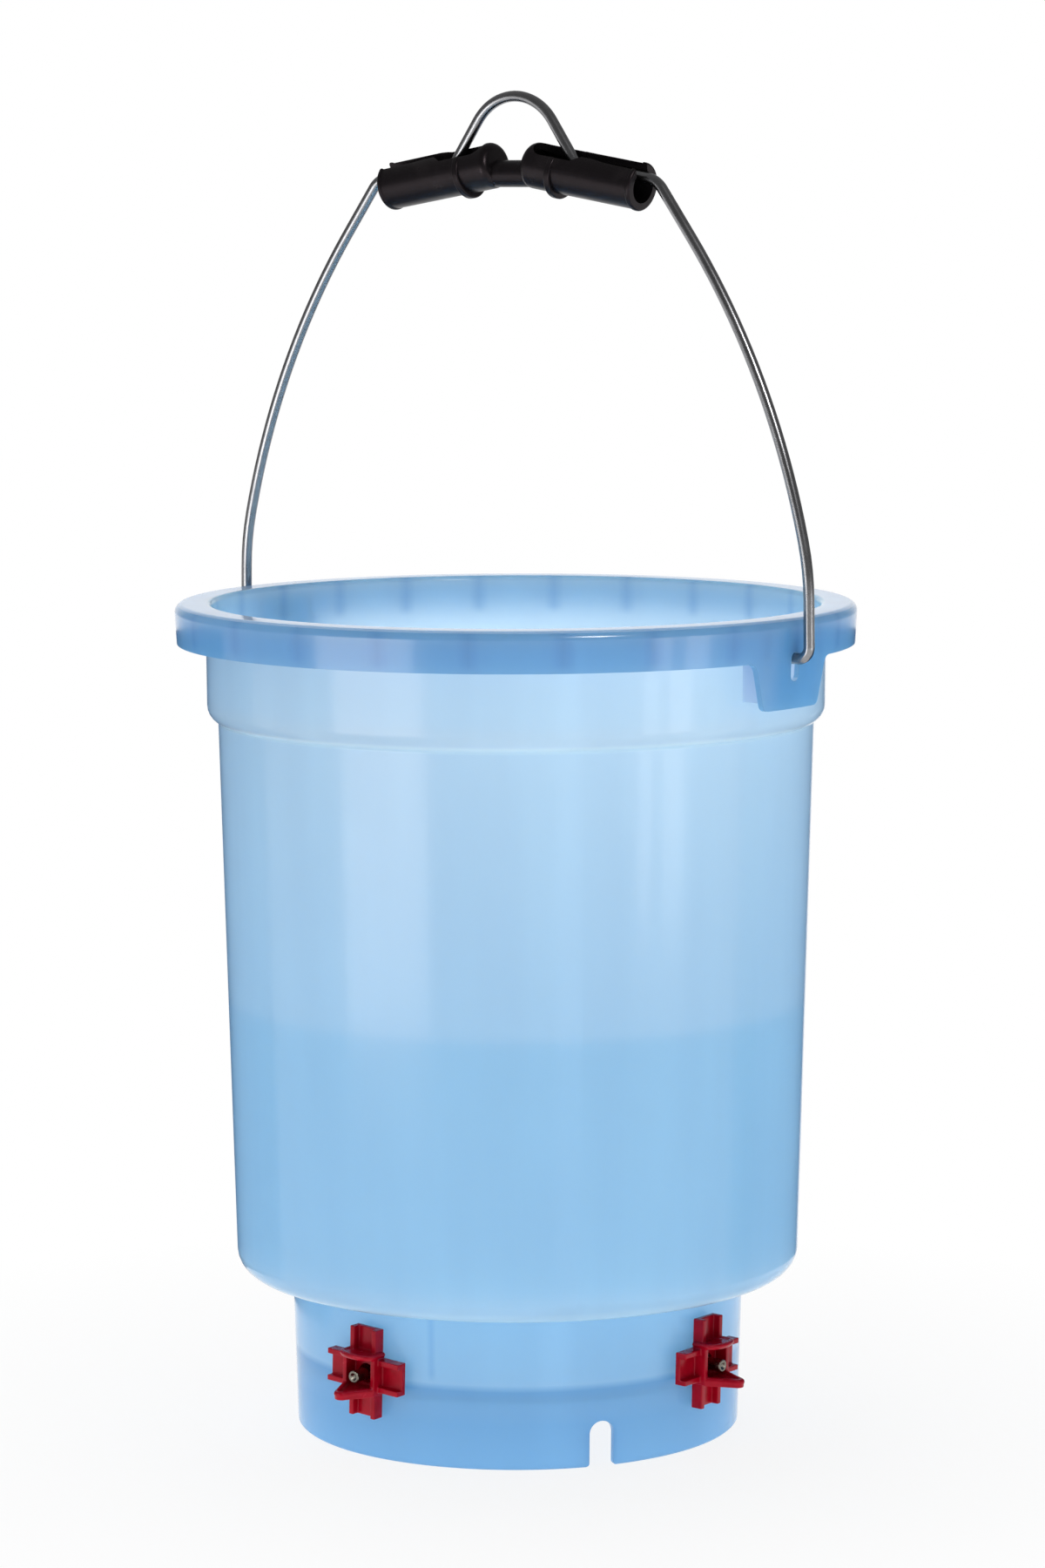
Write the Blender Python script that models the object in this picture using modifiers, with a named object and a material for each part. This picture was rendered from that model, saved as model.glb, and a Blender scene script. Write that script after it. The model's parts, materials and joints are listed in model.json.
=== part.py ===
"""Bucket drinker for poultry: slotted ears, hanging bail with a clip-on grip, four valve nipples.

Metres, +Z up. The origin is the centre of the base ring's foot. +X runs through the slot of one ear.
"""

import math

import bmesh
import bpy
from mathutils import Matrix, Vector

# Sides of the round forms

BUCKET_SIDES = 60
BARREL_SIDES = 20
STEM_SIDES = 16
RING_SIDES = 12
PATH_TURN = math.radians(17)
PROFILE_TURN = math.radians(46)
PATH_CHORD = 0.012

# How far a cutter runs past what it cuts, and the gap left where two pieces seat

CUT_PAST = 0.004
SEAT_GAP = 0.0003

# Bucket: heights from the foot or down from the rim, radii stepped in from the rim

HEIGHT = 0.3056
RIM_R = 0.1253
RIM_ROUND = 0.0032
RIM_INNER_ROUND = 0.0020
RIM_OVERHANG = 0.0115
WALL = 0.0022
SKIRT_WALL = 0.0020
SKIRT_DEPTH = 0.0147
SKIRT_DRAFT = 0.0612
NECK_DRAFT = 0.0003
STEP_DEPTH = 0.0426
STEP_IN = 0.0043
STEP_RISE = 0.0016
STEP_FILLET = 0.0065
STEP_EDGE = 0.0010
INNER_STEP_LIFT = 0.0029
INNER_STEP_RISE = 0.0031
INNER_STEP_FILLET = 0.0020
INNER_STEP_EDGE = 0.0030
BODY_TAPER = 0.0055
SHOULDER_Z = 0.0575
SHOULDER_ROUND = 0.0085
SHOULDER_IN = 0.0203
SHOULDER_DISH = 0.0003
BASE_TAPER = 0.0016
BASE_WALL = 0.0024
FLOOR_THICK = 0.0022
FLOOR_ROUND = 0.0030
FLOOR_BELOW_STEM = 0.00095
FOOT_CHAMFER = 0.0006

# Radial ribs under the rim, between the skirt and the wall

RIB_COUNT = 24
RIB_THICK = 0.0014
RIB_SET_BACK = 0.0015
RIB_BITE = 0.0010

# Ears: two tabs of the skirt that hang lower, each with an upright slot

EAR_DEPTH = 0.0320
EAR_BOTTOM_HALF = 0.0164
EAR_TOP_HALF = 0.0214
EAR_CORNER = 0.0030
EAR_FILLET = 0.0040
EAR_WEB_RISE = 0.0030
EAR_SLOT_PLAY = 0.0005
EAR_SLOT_FOOT = 0.0097
PIVOT_DEPTH = 0.0142

# Notches in the foot of the base ring

NOTCH_ANGLE = math.radians(-31)
NOTCH_WIDTH = 0.0093
NOTCH_BELOW_FLOOR = 0.0077
NOTCH_FLARE = 0.0015

# Bail: sideways sizes from the rim and the grip, heights up from the pivot

WIRE_R = 0.0020
LEG_OUT = 0.0049
LEG_BEND = 0.0043
HOOK_OUT = 0.0023
HOOK_TOP_GAP = 0.0041
HOOK_BEND = 0.0031
LEG_TOP_IN = 0.0004
LEG_TOP_RISE = 0.0311
LEG_TOP_BEND = 0.095
SWEEP_IN = 0.0163
SWEEP_RISE = 0.0998
SWEEP_BEND = 0.285
MOUTH_OUT = 0.00604
MOUTH_BEND = 0.0100
FOOT_ALONG = 0.02046
FOOT_BEND = 0.0045
ARCH_SLOPE = math.radians(55)
ARCH_R = 0.0208

# Grip

GRIP_RISE = 0.17303
BARREL_R = 0.0084
BARREL_WALL = 0.0025
BARREL_SLOPE = math.radians(9.2)
BARREL_INNER_X = 0.0076
BARREL_LENGTH = 0.0508
BARREL_END_WALL = 0.0024
BARREL_DOME = 0.0028
BARREL_LIP = 0.0008
MOUTH_BEAD = 0.0004
MOUTH_BEAD_WIDTH = 0.0014
BEAD_RUNOUT = 0.0006
GRIP_NECK_R = 0.0049
GRIP_NECK_DROP = 0.00333
GRIP_NECK_BITE = 0.0014
FINGER_RIB_RISE = 0.0008
FINGER_RIB_DROP = 0.0011
FINGER_RIB_WIDTH = 0.0026
FINGER_RIB_EDGE = 0.0006
FINGER_RIB_AT = 0.0138
OVAL_START = 0.0030
OVAL_HALF = 0.0038
OVAL_LENGTH = 0.0225
OVAL_NARROWING = 0.0036
PINCH_HALF = 0.0023
PINCH_LENGTH = 0.0045
MOUTH_SLOT_HALF = 0.0034
MOUTH_SLOT_FLARE = 0.0005
MOUTH_SLOT_RUNOUT = 0.0060
SLOT_START_RISE = 0.0010
WIRE_BELOW_BORE_TOP = 0.00035

# Nipples: distances out from the face of the base ring, along the nipple's own axis

NIPPLE_BELOW_SHOULDER = 0.0251
NIPPLE_ANGLES = (0, 90, 180, 268.5)
NIPPLE_ROLLS = (0, 0, 0, -3)
CROSS_RISE = 0.0006
CROSS_HALF = 0.01655
PLATE_THICK = 0.0020
ARM_HALF = 0.0060
ARM_RIB = 0.0020
ARM_DEPTH = 0.0046
BOX_HALF = 0.0074
BOX_WALL = 0.0018
BOX_DEPTH = 0.0070
CHEEK_SET_BACK = 0.0002
HOOD_TOP = 0.0084
HOOD_THICK = 0.0015
HOOD_OVERHANG = 0.0038
TONGUE_LOW = -0.0066
TONGUE_THICK = 0.0020
TONGUE_REACH = 0.0088
TONGUE_TIP_R = 0.0025

GASKET_R = 0.0070
GASKET_THICK = 0.0008
GASKET_PLAY = 0.00035

PIN_R = 0.0020
PIN_REACH = 0.0024
PIN_EDGE = 0.0003
PIN_HEAD_PLAY = 0.0004
PIN_HEAD_THICK = 0.0012
PIN_HEAD_EDGE = 0.0002
PIN_DIMPLE_R = 0.00135
PIN_DIMPLE = 0.0005

CHAMBER_R = 0.0036
CHAMBER_DEPTH = 0.0060
CHAMBER_LENGTH = 0.0109
STEM_WALL = 0.0008
THREAD_RISE = 0.00035
THREAD_PITCH = 0.0020
THREAD_START = -0.0026
THREAD_RIDGES = 4
WALL_HOLE_PLAY = 0.0003
BORE_PLAY = 0.0007
BORE_FLARE = 0.0009

SEAT_RING_THICK = 0.0012
SEAT_RING_PLAY = 0.0004
SEAT_RING_EDGE = 0.0003
SEAT_RING_TO_PIN = 0.0004

COIL_INSET = 0.0007
COIL_WIRE_R = 0.00025
COIL_TURNS = 4.5
COIL_POINTS = 8
COIL_HEAD_GAP = 0.0005

CAP_PLUG_DEPTH = 0.0028
CAP_FLANGE_THICK = 0.0012
CAP_EDGE = 0.0004
CAP_HOLE_R = 0.0014

# Bucket's derived sizes

NECK_R = RIM_R - RIM_OVERHANG
BODY_TOP_R = NECK_R - STEP_IN
BODY_LOW_R = BODY_TOP_R - BODY_TAPER
BASE_TOP_R = BODY_LOW_R - SHOULDER_IN
BASE_FOOT_R = BASE_TOP_R - BASE_TAPER
BASE_SLOPE = BASE_TAPER / SHOULDER_Z
RIM_UNDER_Z = HEIGHT - SKIRT_WALL
SKIRT_BOTTOM_Z = HEIGHT - SKIRT_DEPTH
EAR_BOTTOM_Z = HEIGHT - EAR_DEPTH
PIVOT_Z = HEIGHT - PIVOT_DEPTH
STEP_Z = HEIGHT - STEP_DEPTH

# Derived sizes of a nipple, from the pin outward

THREAD_R = CHAMBER_R + STEM_WALL + THREAD_RISE
STEM_R = CHAMBER_R + STEM_WALL
WALL_HOLE_R = THREAD_R + WALL_HOLE_PLAY
GASKET_HOLE_R = THREAD_R + GASKET_PLAY
PLATE_BACK = GASKET_THICK + 2 * SEAT_GAP
PLATE_FRONT = PLATE_BACK + PLATE_THICK
BOX_FRONT = PLATE_BACK + BOX_DEPTH
CHAMBER_FRONT = PLATE_BACK - CHAMBER_DEPTH
STEM_END = CHAMBER_FRONT - CHAMBER_LENGTH
SEAT_RING_FRONT = CHAMBER_FRONT - SEAT_GAP
SEAT_RING_BACK = SEAT_RING_FRONT - SEAT_RING_THICK
PIN_HEAD_FRONT = SEAT_RING_BACK - SEAT_RING_TO_PIN
PIN_HEAD_R = CHAMBER_R - PIN_HEAD_PLAY
PIN_TIP = BOX_FRONT + PIN_REACH
CAP_FLANGE_FRONT = STEM_END - SEAT_GAP
CAP_FRONT = CAP_FLANGE_FRONT + CAP_PLUG_DEPTH
CAP_BACK = CAP_FLANGE_FRONT - CAP_FLANGE_THICK
COIL_FRONT = PIN_HEAD_FRONT - PIN_HEAD_THICK - COIL_HEAD_GAP - COIL_WIRE_R
COIL_BACK = CAP_FRONT + SEAT_GAP + COIL_WIRE_R

# Where a nipple meets the base ring, and what the bucket's floor and notches keep clear of

NIPPLE_Z = SHOULDER_Z - NIPPLE_BELOW_SHOULDER
NIPPLE_FACE_R = BASE_FOOT_R + BASE_SLOPE * NIPPLE_Z
FLOOR_Z = NIPPLE_Z - THREAD_R - FLOOR_BELOW_STEM
FLOOR_UNDER_Z = FLOOR_Z - FLOOR_THICK
NOTCH_TOP_Z = FLOOR_UNDER_Z - NOTCH_BELOW_FLOOR

# Outline drawn across and up, pushed out along the nipple's axis

ACROSS = Matrix(((0, 0, 1, 0), (1, 0, 0, 0), (0, 1, 0, 0), (0, 0, 0, 1)))
AXIS_OUT = Matrix.Rotation(math.pi / 2, 4, "Y")

# Puts the middle of a facet, not an edge, behind each ear slot and nipple

HALF_FACET = Matrix.Rotation(math.pi / BUCKET_SIDES, 4, "Z")

# Turns a shape on the +X side to the -X side

OTHER_SIDE = Matrix.Diagonal((-1, -1, 1, 1))


def clear_scene():
    for obj in list(bpy.data.objects):
        bpy.data.objects.remove(obj, do_unlink=True)


clear_scene()
waterer = bpy.data.collections.new("chicken_waterer")
cutters = bpy.data.collections.new("cutters")
bpy.context.scene.collection.children.link(waterer)
bpy.context.scene.collection.children.link(cutters)
cutters.hide_render = True


def material(name, colour, roughness, metallic=0.0):
    made = bpy.data.materials.new(name)
    made.use_nodes = True
    shader = made.node_tree.nodes["Principled BSDF"]
    shader.inputs["Base Color"].default_value = (*colour, 1.0)
    shader.inputs["Roughness"].default_value = roughness
    shader.inputs["Metallic"].default_value = metallic
    made.diffuse_color = (*colour, 1.0)
    return made


BLUE = material("bucket_plastic", (0.32, 0.60, 0.88), 0.35)
WIRE = material("galvanised_wire", (0.55, 0.55, 0.55), 0.38, 1.0)
BLACK = material("grip_plastic", (0.012, 0.011, 0.012), 0.45)
RED = material("nipple_plastic", (0.50, 0.006, 0.020), 0.35)
RUBBER = material("gasket_rubber", (0.02, 0.02, 0.02), 0.7)
STEEL = material("stainless_pin", (0.50, 0.48, 0.44), 0.3, 1.0)
SPRING_STEEL = material("spring_steel", (0.60, 0.60, 0.60), 0.3, 1.0)
WHITE = material("cap_plastic", (0.80, 0.80, 0.78), 0.45)


def rounded_path(corners, most_turn):
    """Points along (x, z, radius) corners, each inner corner an arc of its own radius."""
    points = [corners[0][:2]]
    for (ax, az, _), (bx, bz, radius), (cx, cz, _) in zip(corners, corners[1:], corners[2:]):
        if radius == 0:
            points.append((bx, bz))
            continue
        heading = math.atan2(bz - az, bx - ax)
        turn = math.remainder(math.atan2(cz - bz, cx - bx) - heading, math.tau)
        reach = radius * math.tan(abs(turn) / 2)
        x = bx - reach * math.cos(heading)
        z = bz - reach * math.sin(heading)
        points.append((x, z))
        steps = max(1, math.ceil(abs(turn) / most_turn), math.ceil(abs(turn) * radius / PATH_CHORD))
        chord = 2 * radius * math.sin(abs(turn) / (2 * steps))
        for step in range(steps):
            along = heading + turn * (step + 0.5) / steps
            x += chord * math.cos(along)
            z += chord * math.sin(along)
            points.append((x, z))
    points.append(corners[-1][:2])
    return points


def arc(centre_x, centre_y, radius, start, end, steps):
    """Points on a circle from one angle in degrees to another, ends included."""
    turns = [math.radians(start + (end - start) * k / steps) for k in range(steps + 1)]
    return [(centre_x + radius * math.cos(a), centre_y + radius * math.sin(a)) for a in turns]


def link(name, mesh, collection):
    obj = bpy.data.objects.new(name, mesh)
    collection.objects.link(obj)
    if collection is cutters:
        obj.hide_render = True
        obj.display_type = "WIRE"
    return obj


def bake(obj):
    """Replaces the object's mesh by the one that its modifiers give."""
    bpy.context.view_layer.update()
    result = bpy.data.meshes.new_from_object(obj.evaluated_get(bpy.context.evaluated_depsgraph_get()))
    result.name = obj.name
    obj.modifiers.clear()
    obj.data = result
    return obj


def turned(name, profile, sides, closed=False, place=None):
    """Solid turned about Z from (radius, height) points that run down the outer side."""
    count = len(profile)
    edges = [(k, (k + 1) % count) for k in range(count if closed else count - 1)]
    mesh = bpy.data.meshes.new(name)
    mesh.from_pydata([(radius, 0, height) for radius, height in profile], edges, [])
    obj = link(name, mesh, cutters)
    screw = obj.modifiers.new("turn", "SCREW")
    screw.angle = math.tau
    screw.steps = sides
    screw.render_steps = sides
    screw.use_merge_vertices = True
    screw.merge_threshold = 0.000001
    bake(obj)
    if place is not None:
        obj.data.transform(place)
    return obj


def prism(name, outline, low, high, place=None):
    """Solid between two copies of a flat outline, drawn in X and Y and pushed along Z."""
    shape = bmesh.new()
    ring = [shape.verts.new((x, y, low)) for x, y in outline]
    face = shape.faces.new(ring)
    pushed = bmesh.ops.extrude_face_region(shape, geom=[face])
    tops = [v for v in pushed["geom"] if isinstance(v, bmesh.types.BMVert)]
    bmesh.ops.translate(shape, verts=tops, vec=(0, 0, high - low))
    bmesh.ops.recalc_face_normals(shape, faces=shape.faces)
    mesh = bpy.data.meshes.new(name)
    shape.to_mesh(mesh)
    shape.free()
    if place is not None:
        mesh.transform(place)
    return link(name, mesh, cutters)


def block(name, low, high, place=None):
    """Box between two opposite corners."""
    outline = [(low[0], low[1]), (high[0], low[1]), (high[0], high[1]), (low[0], high[1])]
    return prism(name, outline, low[2], high[2], place)


def combine(obj, tools, operation):
    """Joins the tools to the object or cuts them from it."""
    for tool in tools:
        step = obj.modifiers.new(tool.name, "BOOLEAN")
        step.operation = operation
        step.solver = "EXACT"
        step.object = tool
    return bake(obj)


def merged(name, pieces):
    """One mesh that holds several separate solids."""
    shape = bmesh.new()
    for piece in pieces:
        shape.from_mesh(piece.data)
        bpy.data.objects.remove(piece, do_unlink=True)
    mesh = bpy.data.meshes.new(name)
    shape.to_mesh(mesh)
    shape.free()
    return link(name, mesh, cutters)


def finish(obj, surface, sharp=35):
    """Moves a finished solid to the part's collection with its own material."""
    shape = bmesh.new()
    shape.from_mesh(obj.data)
    bmesh.ops.remove_doubles(shape, verts=shape.verts, dist=0.000002)
    bmesh.ops.dissolve_degenerate(shape, edges=shape.edges, dist=0.000002)
    bmesh.ops.recalc_face_normals(shape, faces=shape.faces)
    shape.to_mesh(obj.data)
    shape.free()
    obj.data.materials.clear()
    obj.data.materials.append(surface)
    obj.data.shade_smooth()
    obj.data.set_sharp_from_angle(angle=math.radians(sharp))
    cutters.objects.unlink(obj)
    waterer.objects.link(obj)
    obj.hide_render = False
    obj.display_type = "TEXTURED"
    return obj


def tube(name, points, radius, resolution):
    """Round wire along a line of points, closed at both ends."""
    curve = bpy.data.curves.new(name, "CURVE")
    curve.dimensions = "3D"
    curve.bevel_depth = radius
    curve.bevel_resolution = resolution
    curve.use_fill_caps = True
    spline = curve.splines.new("POLY")
    spline.points.add(len(points) - 1)
    for point, place in zip(spline.points, points):
        point.co = (*place, 1.0)
    source = link(name + "_line", curve, cutters)
    bpy.context.view_layer.update()
    graph = bpy.context.evaluated_depsgraph_get()
    mesh = bpy.data.meshes.new_from_object(source.evaluated_get(graph))
    mesh.transform(source.matrix_world)
    bpy.data.objects.remove(source, do_unlink=True)
    shape = bmesh.new()
    shape.from_mesh(mesh)
    bmesh.ops.remove_doubles(shape, verts=shape.verts, dist=0.000005)
    shape.to_mesh(mesh)
    shape.free()
    return link(name, mesh, cutters)


def base_radius(height):
    return BASE_FOOT_R + BASE_SLOPE * height


def skirt_radius(height):
    return RIM_R - SKIRT_DRAFT * (HEIGHT - height)


def nipple_place(angle, roll):
    """Frame on the base ring's face: X out of the wall, Y along it, Z up it, rolled about X."""
    turn = Matrix.Rotation(math.radians(angle), 4, "Z")
    on_face = Matrix.Translation((NIPPLE_FACE_R, 0, NIPPLE_Z))
    tilt = Matrix.Rotation(math.atan(BASE_SLOPE), 4, "Y")
    return turn @ on_face @ tilt @ Matrix.Rotation(math.radians(roll), 4, "X")


nipple_places = [nipple_place(angle, roll) for angle, roll in zip(NIPPLE_ANGLES, NIPPLE_ROLLS)]


# Bucket: inner side from the floor's centre up to the rim, then down the outer side

inner_step_z = STEP_Z + INNER_STEP_LIFT
bucket_profile = rounded_path([
    (0, FLOOR_Z, 0),
    (base_radius(FLOOR_Z) - BASE_WALL, FLOOR_Z, FLOOR_ROUND),
    (BASE_TOP_R - BASE_WALL, SHOULDER_Z + WALL, 0),
    (BODY_LOW_R - WALL, SHOULDER_Z + WALL, SHOULDER_ROUND - WALL),
    (BODY_TOP_R - WALL, inner_step_z, INNER_STEP_FILLET),
    (NECK_R - WALL, inner_step_z + INNER_STEP_RISE, INNER_STEP_EDGE),
    (NECK_R - WALL, HEIGHT, RIM_INNER_ROUND),
    (RIM_R, HEIGHT, RIM_ROUND),
    (skirt_radius(SKIRT_BOTTOM_Z), SKIRT_BOTTOM_Z, 0),
    (skirt_radius(EAR_BOTTOM_Z), EAR_BOTTOM_Z, 0),
    (skirt_radius(EAR_BOTTOM_Z) - SKIRT_WALL, EAR_BOTTOM_Z, 0),
    (skirt_radius(RIM_UNDER_Z) - SKIRT_WALL, RIM_UNDER_Z, 0),
    (NECK_R, RIM_UNDER_Z, 0),
    (NECK_R - NECK_DRAFT, STEP_Z + STEP_RISE / 2, STEP_FILLET),
    (BODY_TOP_R, STEP_Z - STEP_RISE / 2, STEP_EDGE),
    (BODY_LOW_R, SHOULDER_Z, SHOULDER_ROUND),
    (BASE_TOP_R, SHOULDER_Z - SHOULDER_DISH, 0),
    (BASE_FOOT_R, FOOT_CHAMFER, 0),
    (BASE_FOOT_R - FOOT_CHAMFER, 0, 0),
    (BASE_FOOT_R - BASE_WALL, 0, 0),
    (base_radius(FLOOR_UNDER_Z) - BASE_WALL, FLOOR_UNDER_Z, 0),
    (0, FLOOR_UNDER_Z, 0),
], PROFILE_TURN)
bucket = turned("bucket", bucket_profile, BUCKET_SIDES, place=HALF_FACET)
outside_r = RIM_R + CUT_PAST
behind_skirt_r = (NECK_R + skirt_radius(PIVOT_Z) - SKIRT_WALL) / 2

# The skirt is cut back to its own height, except where the two ear tabs hang

ear_edge = EAR_TOP_HALF + 2 * EAR_FILLET
ear_side = rounded_path([
    (0, EAR_BOTTOM_Z - CUT_PAST, 0),
    (0, EAR_BOTTOM_Z, 0),
    (EAR_BOTTOM_HALF, EAR_BOTTOM_Z, EAR_CORNER),
    (EAR_TOP_HALF, SKIRT_BOTTOM_Z, EAR_FILLET),
    (ear_edge, SKIRT_BOTTOM_Z, 0),
    (ear_edge, SKIRT_BOTTOM_Z + EAR_FILLET, 0),
], PATH_TURN)[1:]
ear_outline = ear_side + [(-y, z) for y, z in reversed(ear_side[1:])]
ear_shape = prism("ear_shape", ear_outline, -outside_r, outside_r, ACROSS)
skirt_cut = turned("skirt_cut", [
    (outside_r, SKIRT_BOTTOM_Z),
    (outside_r, EAR_BOTTOM_Z - CUT_PAST),
    (behind_skirt_r, EAR_BOTTOM_Z - CUT_PAST),
    (behind_skirt_r, SKIRT_BOTTOM_Z),
], BUCKET_SIDES, closed=True, place=HALF_FACET)
combine(skirt_cut, [ear_shape], "DIFFERENCE")

# Radial ribs: the four beside the ear slots run down to the tabs' lower edge

ribs = []
for number in range(RIB_COUNT):
    angle = math.tau * (number + 0.5) / RIB_COUNT
    beside_ear = abs(math.remainder(angle, math.pi)) < math.tau / RIB_COUNT
    low = EAR_BOTTOM_Z + EAR_WEB_RISE if beside_ear else SKIRT_BOTTOM_Z + RIB_SET_BACK
    ribs.append(block(
        "rib",
        (NECK_R - RIB_BITE, -RIB_THICK / 2, low),
        (skirt_radius(low) - SKIRT_WALL + RIB_BITE, RIB_THICK / 2, RIM_UNDER_Z + RIB_BITE),
        Matrix.Rotation(angle, 4, "Z"),
    ))
rib_set = merged("rib_set", ribs)

# Slots for the bail's ends, round at both ends

slot_half = WIRE_R + EAR_SLOT_PLAY
slot_low_z = EAR_BOTTOM_Z + EAR_SLOT_FOOT + slot_half
slot_outline = arc(0, PIVOT_Z, slot_half, 0, 180, 8) + arc(0, slot_low_z, slot_half, 180, 360, 8)
slots = merged("ear_slots", [
    prism("slot", slot_outline, behind_skirt_r, outside_r, side @ ACROSS)
    for side in (Matrix.Identity(4), OTHER_SIDE)
])

# Drain notches right across the base ring

notch_half = NOTCH_WIDTH / 2
notch_side = rounded_path([
    (notch_half + 2 * NOTCH_FLARE, -CUT_PAST, 0),
    (notch_half + 2 * NOTCH_FLARE, -NOTCH_FLARE / 10, 0),
    (notch_half, 0, NOTCH_FLARE),
    (notch_half, NOTCH_TOP_Z - notch_half, 0),
], PATH_TURN)
notch_top = arc(0, NOTCH_TOP_Z - notch_half, notch_half, 0, 180, 10)
notch_outline = notch_side[:-1] + notch_top + [(-y, z) for y, z in reversed(notch_side[:-1])]
notch_turn = Matrix.Rotation(NOTCH_ANGLE, 4, "Z")
notch = prism("notch", notch_outline, -outside_r, outside_r, notch_turn @ ACROSS)

# Holes for the four nipples

hole_back = -BASE_WALL - FLOOR_ROUND - CUT_PAST
hole_profile = [(0, CUT_PAST), (WALL_HOLE_R, CUT_PAST), (WALL_HOLE_R, hole_back), (0, hole_back)]
hole_set = merged("nipple_holes", [
    turned("hole", hole_profile, STEM_SIDES, place=place @ AXIS_OUT) for place in nipple_places
])

combine(bucket, [rib_set], "UNION")
combine(bucket, [skirt_cut, slots, notch, hole_set], "DIFFERENCE")
finish(bucket, BLUE)

# Grip: two barrels that slope down and outward, joined by a lower neck

barrel_inner_z = PIVOT_Z + GRIP_RISE
bore_r = BARREL_R - BARREL_WALL
bead_r = BARREL_R + MOUTH_BEAD
mouth_bead_start = BARREL_LENGTH - MOUTH_BEAD_WIDTH
barrel_profile = rounded_path([
    (0, BARREL_LENGTH, 0),
    (bead_r, BARREL_LENGTH, BARREL_LIP),
    (bead_r, mouth_bead_start, 0),
    (BARREL_R, mouth_bead_start, 0),
    (bead_r, mouth_bead_start - BEAD_RUNOUT, 0),
    (BARREL_R, mouth_bead_start - MOUTH_BEAD_WIDTH, 0),
    (BARREL_R, 0, BARREL_DOME),
    (0, 0, 0),
], PROFILE_TURN)
finger_rib_r = BARREL_R + FINGER_RIB_RISE
rib_low = FINGER_RIB_AT - FINGER_RIB_WIDTH / 2
rib_high = FINGER_RIB_AT + FINGER_RIB_WIDTH / 2
finger_rib_profile = [
    (0, rib_high),
    (finger_rib_r - FINGER_RIB_EDGE, rib_high),
    (finger_rib_r, rib_high - FINGER_RIB_EDGE),
    (finger_rib_r, rib_low + FINGER_RIB_EDGE),
    (finger_rib_r - FINGER_RIB_EDGE, rib_low),
    (0, rib_low),
]
bore_end = BARREL_LENGTH + CUT_PAST
barrel_bore_profile = [(0, bore_end), (bore_r, bore_end), (bore_r, BARREL_END_WALL), (0, BARREL_END_WALL)]
oval_end = OVAL_START + OVAL_LENGTH
pinch_end = oval_end + PINCH_LENGTH
slot_side = [
    (bore_end + CUT_PAST, MOUTH_SLOT_HALF),
    (pinch_end + MOUTH_SLOT_RUNOUT, MOUTH_SLOT_HALF - MOUTH_SLOT_FLARE),
    (pinch_end, PINCH_HALF),
    (oval_end, PINCH_HALF),
    (oval_end - OVAL_NARROWING, OVAL_HALF),
]
slot_side += arc(OVAL_START + OVAL_HALF, 0, OVAL_HALF, 90, 180, 5)
grip_slot_outline = slot_side + [(x, -y) for x, y in reversed(slot_side[:-1])]


# One barrel, made along Z with its slot towards -X, then laid in its place and turned to the other side

barrel = turned("barrel", barrel_profile, BARREL_SIDES)
finger_drop = Matrix.Translation((FINGER_RIB_DROP, 0, 0))
finger_rib = turned("finger_rib", finger_rib_profile, BARREL_SIDES, place=finger_drop)
hollow = turned("barrel_hollow", barrel_bore_profile, BARREL_SIDES)
slot_turn = Matrix.Rotation(-math.pi / 2, 4, "Y")
barrel_slot = prism("barrel_slot", grip_slot_outline, SLOT_START_RISE, BARREL_R + CUT_PAST, slot_turn)
combine(barrel, [finger_rib], "UNION")
combine(barrel, [combine(hollow, [barrel_slot], "UNION")], "DIFFERENCE")
barrel_place = Matrix.Translation((BARREL_INNER_X, 0, barrel_inner_z))
barrel.data.transform(barrel_place @ Matrix.Rotation(math.pi / 2 + BARREL_SLOPE, 4, "Y"))
other_barrel = link("other_barrel", barrel.data.copy(), cutters)
other_barrel.data.transform(OTHER_SIDE)

neck_half = BARREL_INNER_X + GRIP_NECK_BITE
neck_turn = Matrix.Translation((0, 0, barrel_inner_z - GRIP_NECK_DROP)) @ AXIS_OUT
neck_profile = [(0, neck_half), (GRIP_NECK_R, neck_half), (GRIP_NECK_R, -neck_half), (0, -neck_half)]
grip = turned("grip", neck_profile, BARREL_SIDES, place=neck_turn)
combine(grip, [barrel, other_barrel], "UNION")
finish(grip, BLACK)

# Bail: hooked ends, legs, runs through the barrels near the top of the bore, hanging arch

leg_x = RIM_R + LEG_OUT
hook_x = NECK_R + HOOK_OUT + WIRE_R
wire_in_bore = bore_r - WIRE_R - WIRE_BELOW_BORE_TOP
wire_at_inner_z = barrel_inner_z + wire_in_bore / math.cos(BARREL_SLOPE)


def wire_in_barrel_z(x):
    return wire_at_inner_z - (x - BARREL_INNER_X) * math.tan(BARREL_SLOPE)


mouth_x = BARREL_INNER_X + BARREL_LENGTH * math.cos(BARREL_SLOPE) + MOUTH_OUT
foot_x = BARREL_INNER_X + FOOT_ALONG * math.cos(BARREL_SLOPE)
arch_corner_z = wire_in_barrel_z(foot_x) + foot_x * math.tan(ARCH_SLOPE)
half_path = [
    (hook_x, RIM_UNDER_Z - HOOK_TOP_GAP, 0),
    (hook_x, PIVOT_Z, HOOK_BEND),
    (leg_x, PIVOT_Z, LEG_BEND),
    (leg_x - LEG_TOP_IN, PIVOT_Z + LEG_TOP_RISE, LEG_TOP_BEND),
    (leg_x - SWEEP_IN, PIVOT_Z + SWEEP_RISE, SWEEP_BEND),
    (mouth_x, wire_in_barrel_z(mouth_x), MOUTH_BEND),
    (foot_x, wire_in_barrel_z(foot_x), FOOT_BEND),
]
other_half = [(-x, z, radius) for x, z, radius in reversed(half_path)]
whole_path = half_path + [(0, arch_corner_z, ARCH_R)] + other_half
bail_line = [Vector((x, 0, z - PIVOT_Z)) for x, z in rounded_path(whole_path, PATH_TURN)]
bail = tube("bail", bail_line, WIRE_R, 2)
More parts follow.
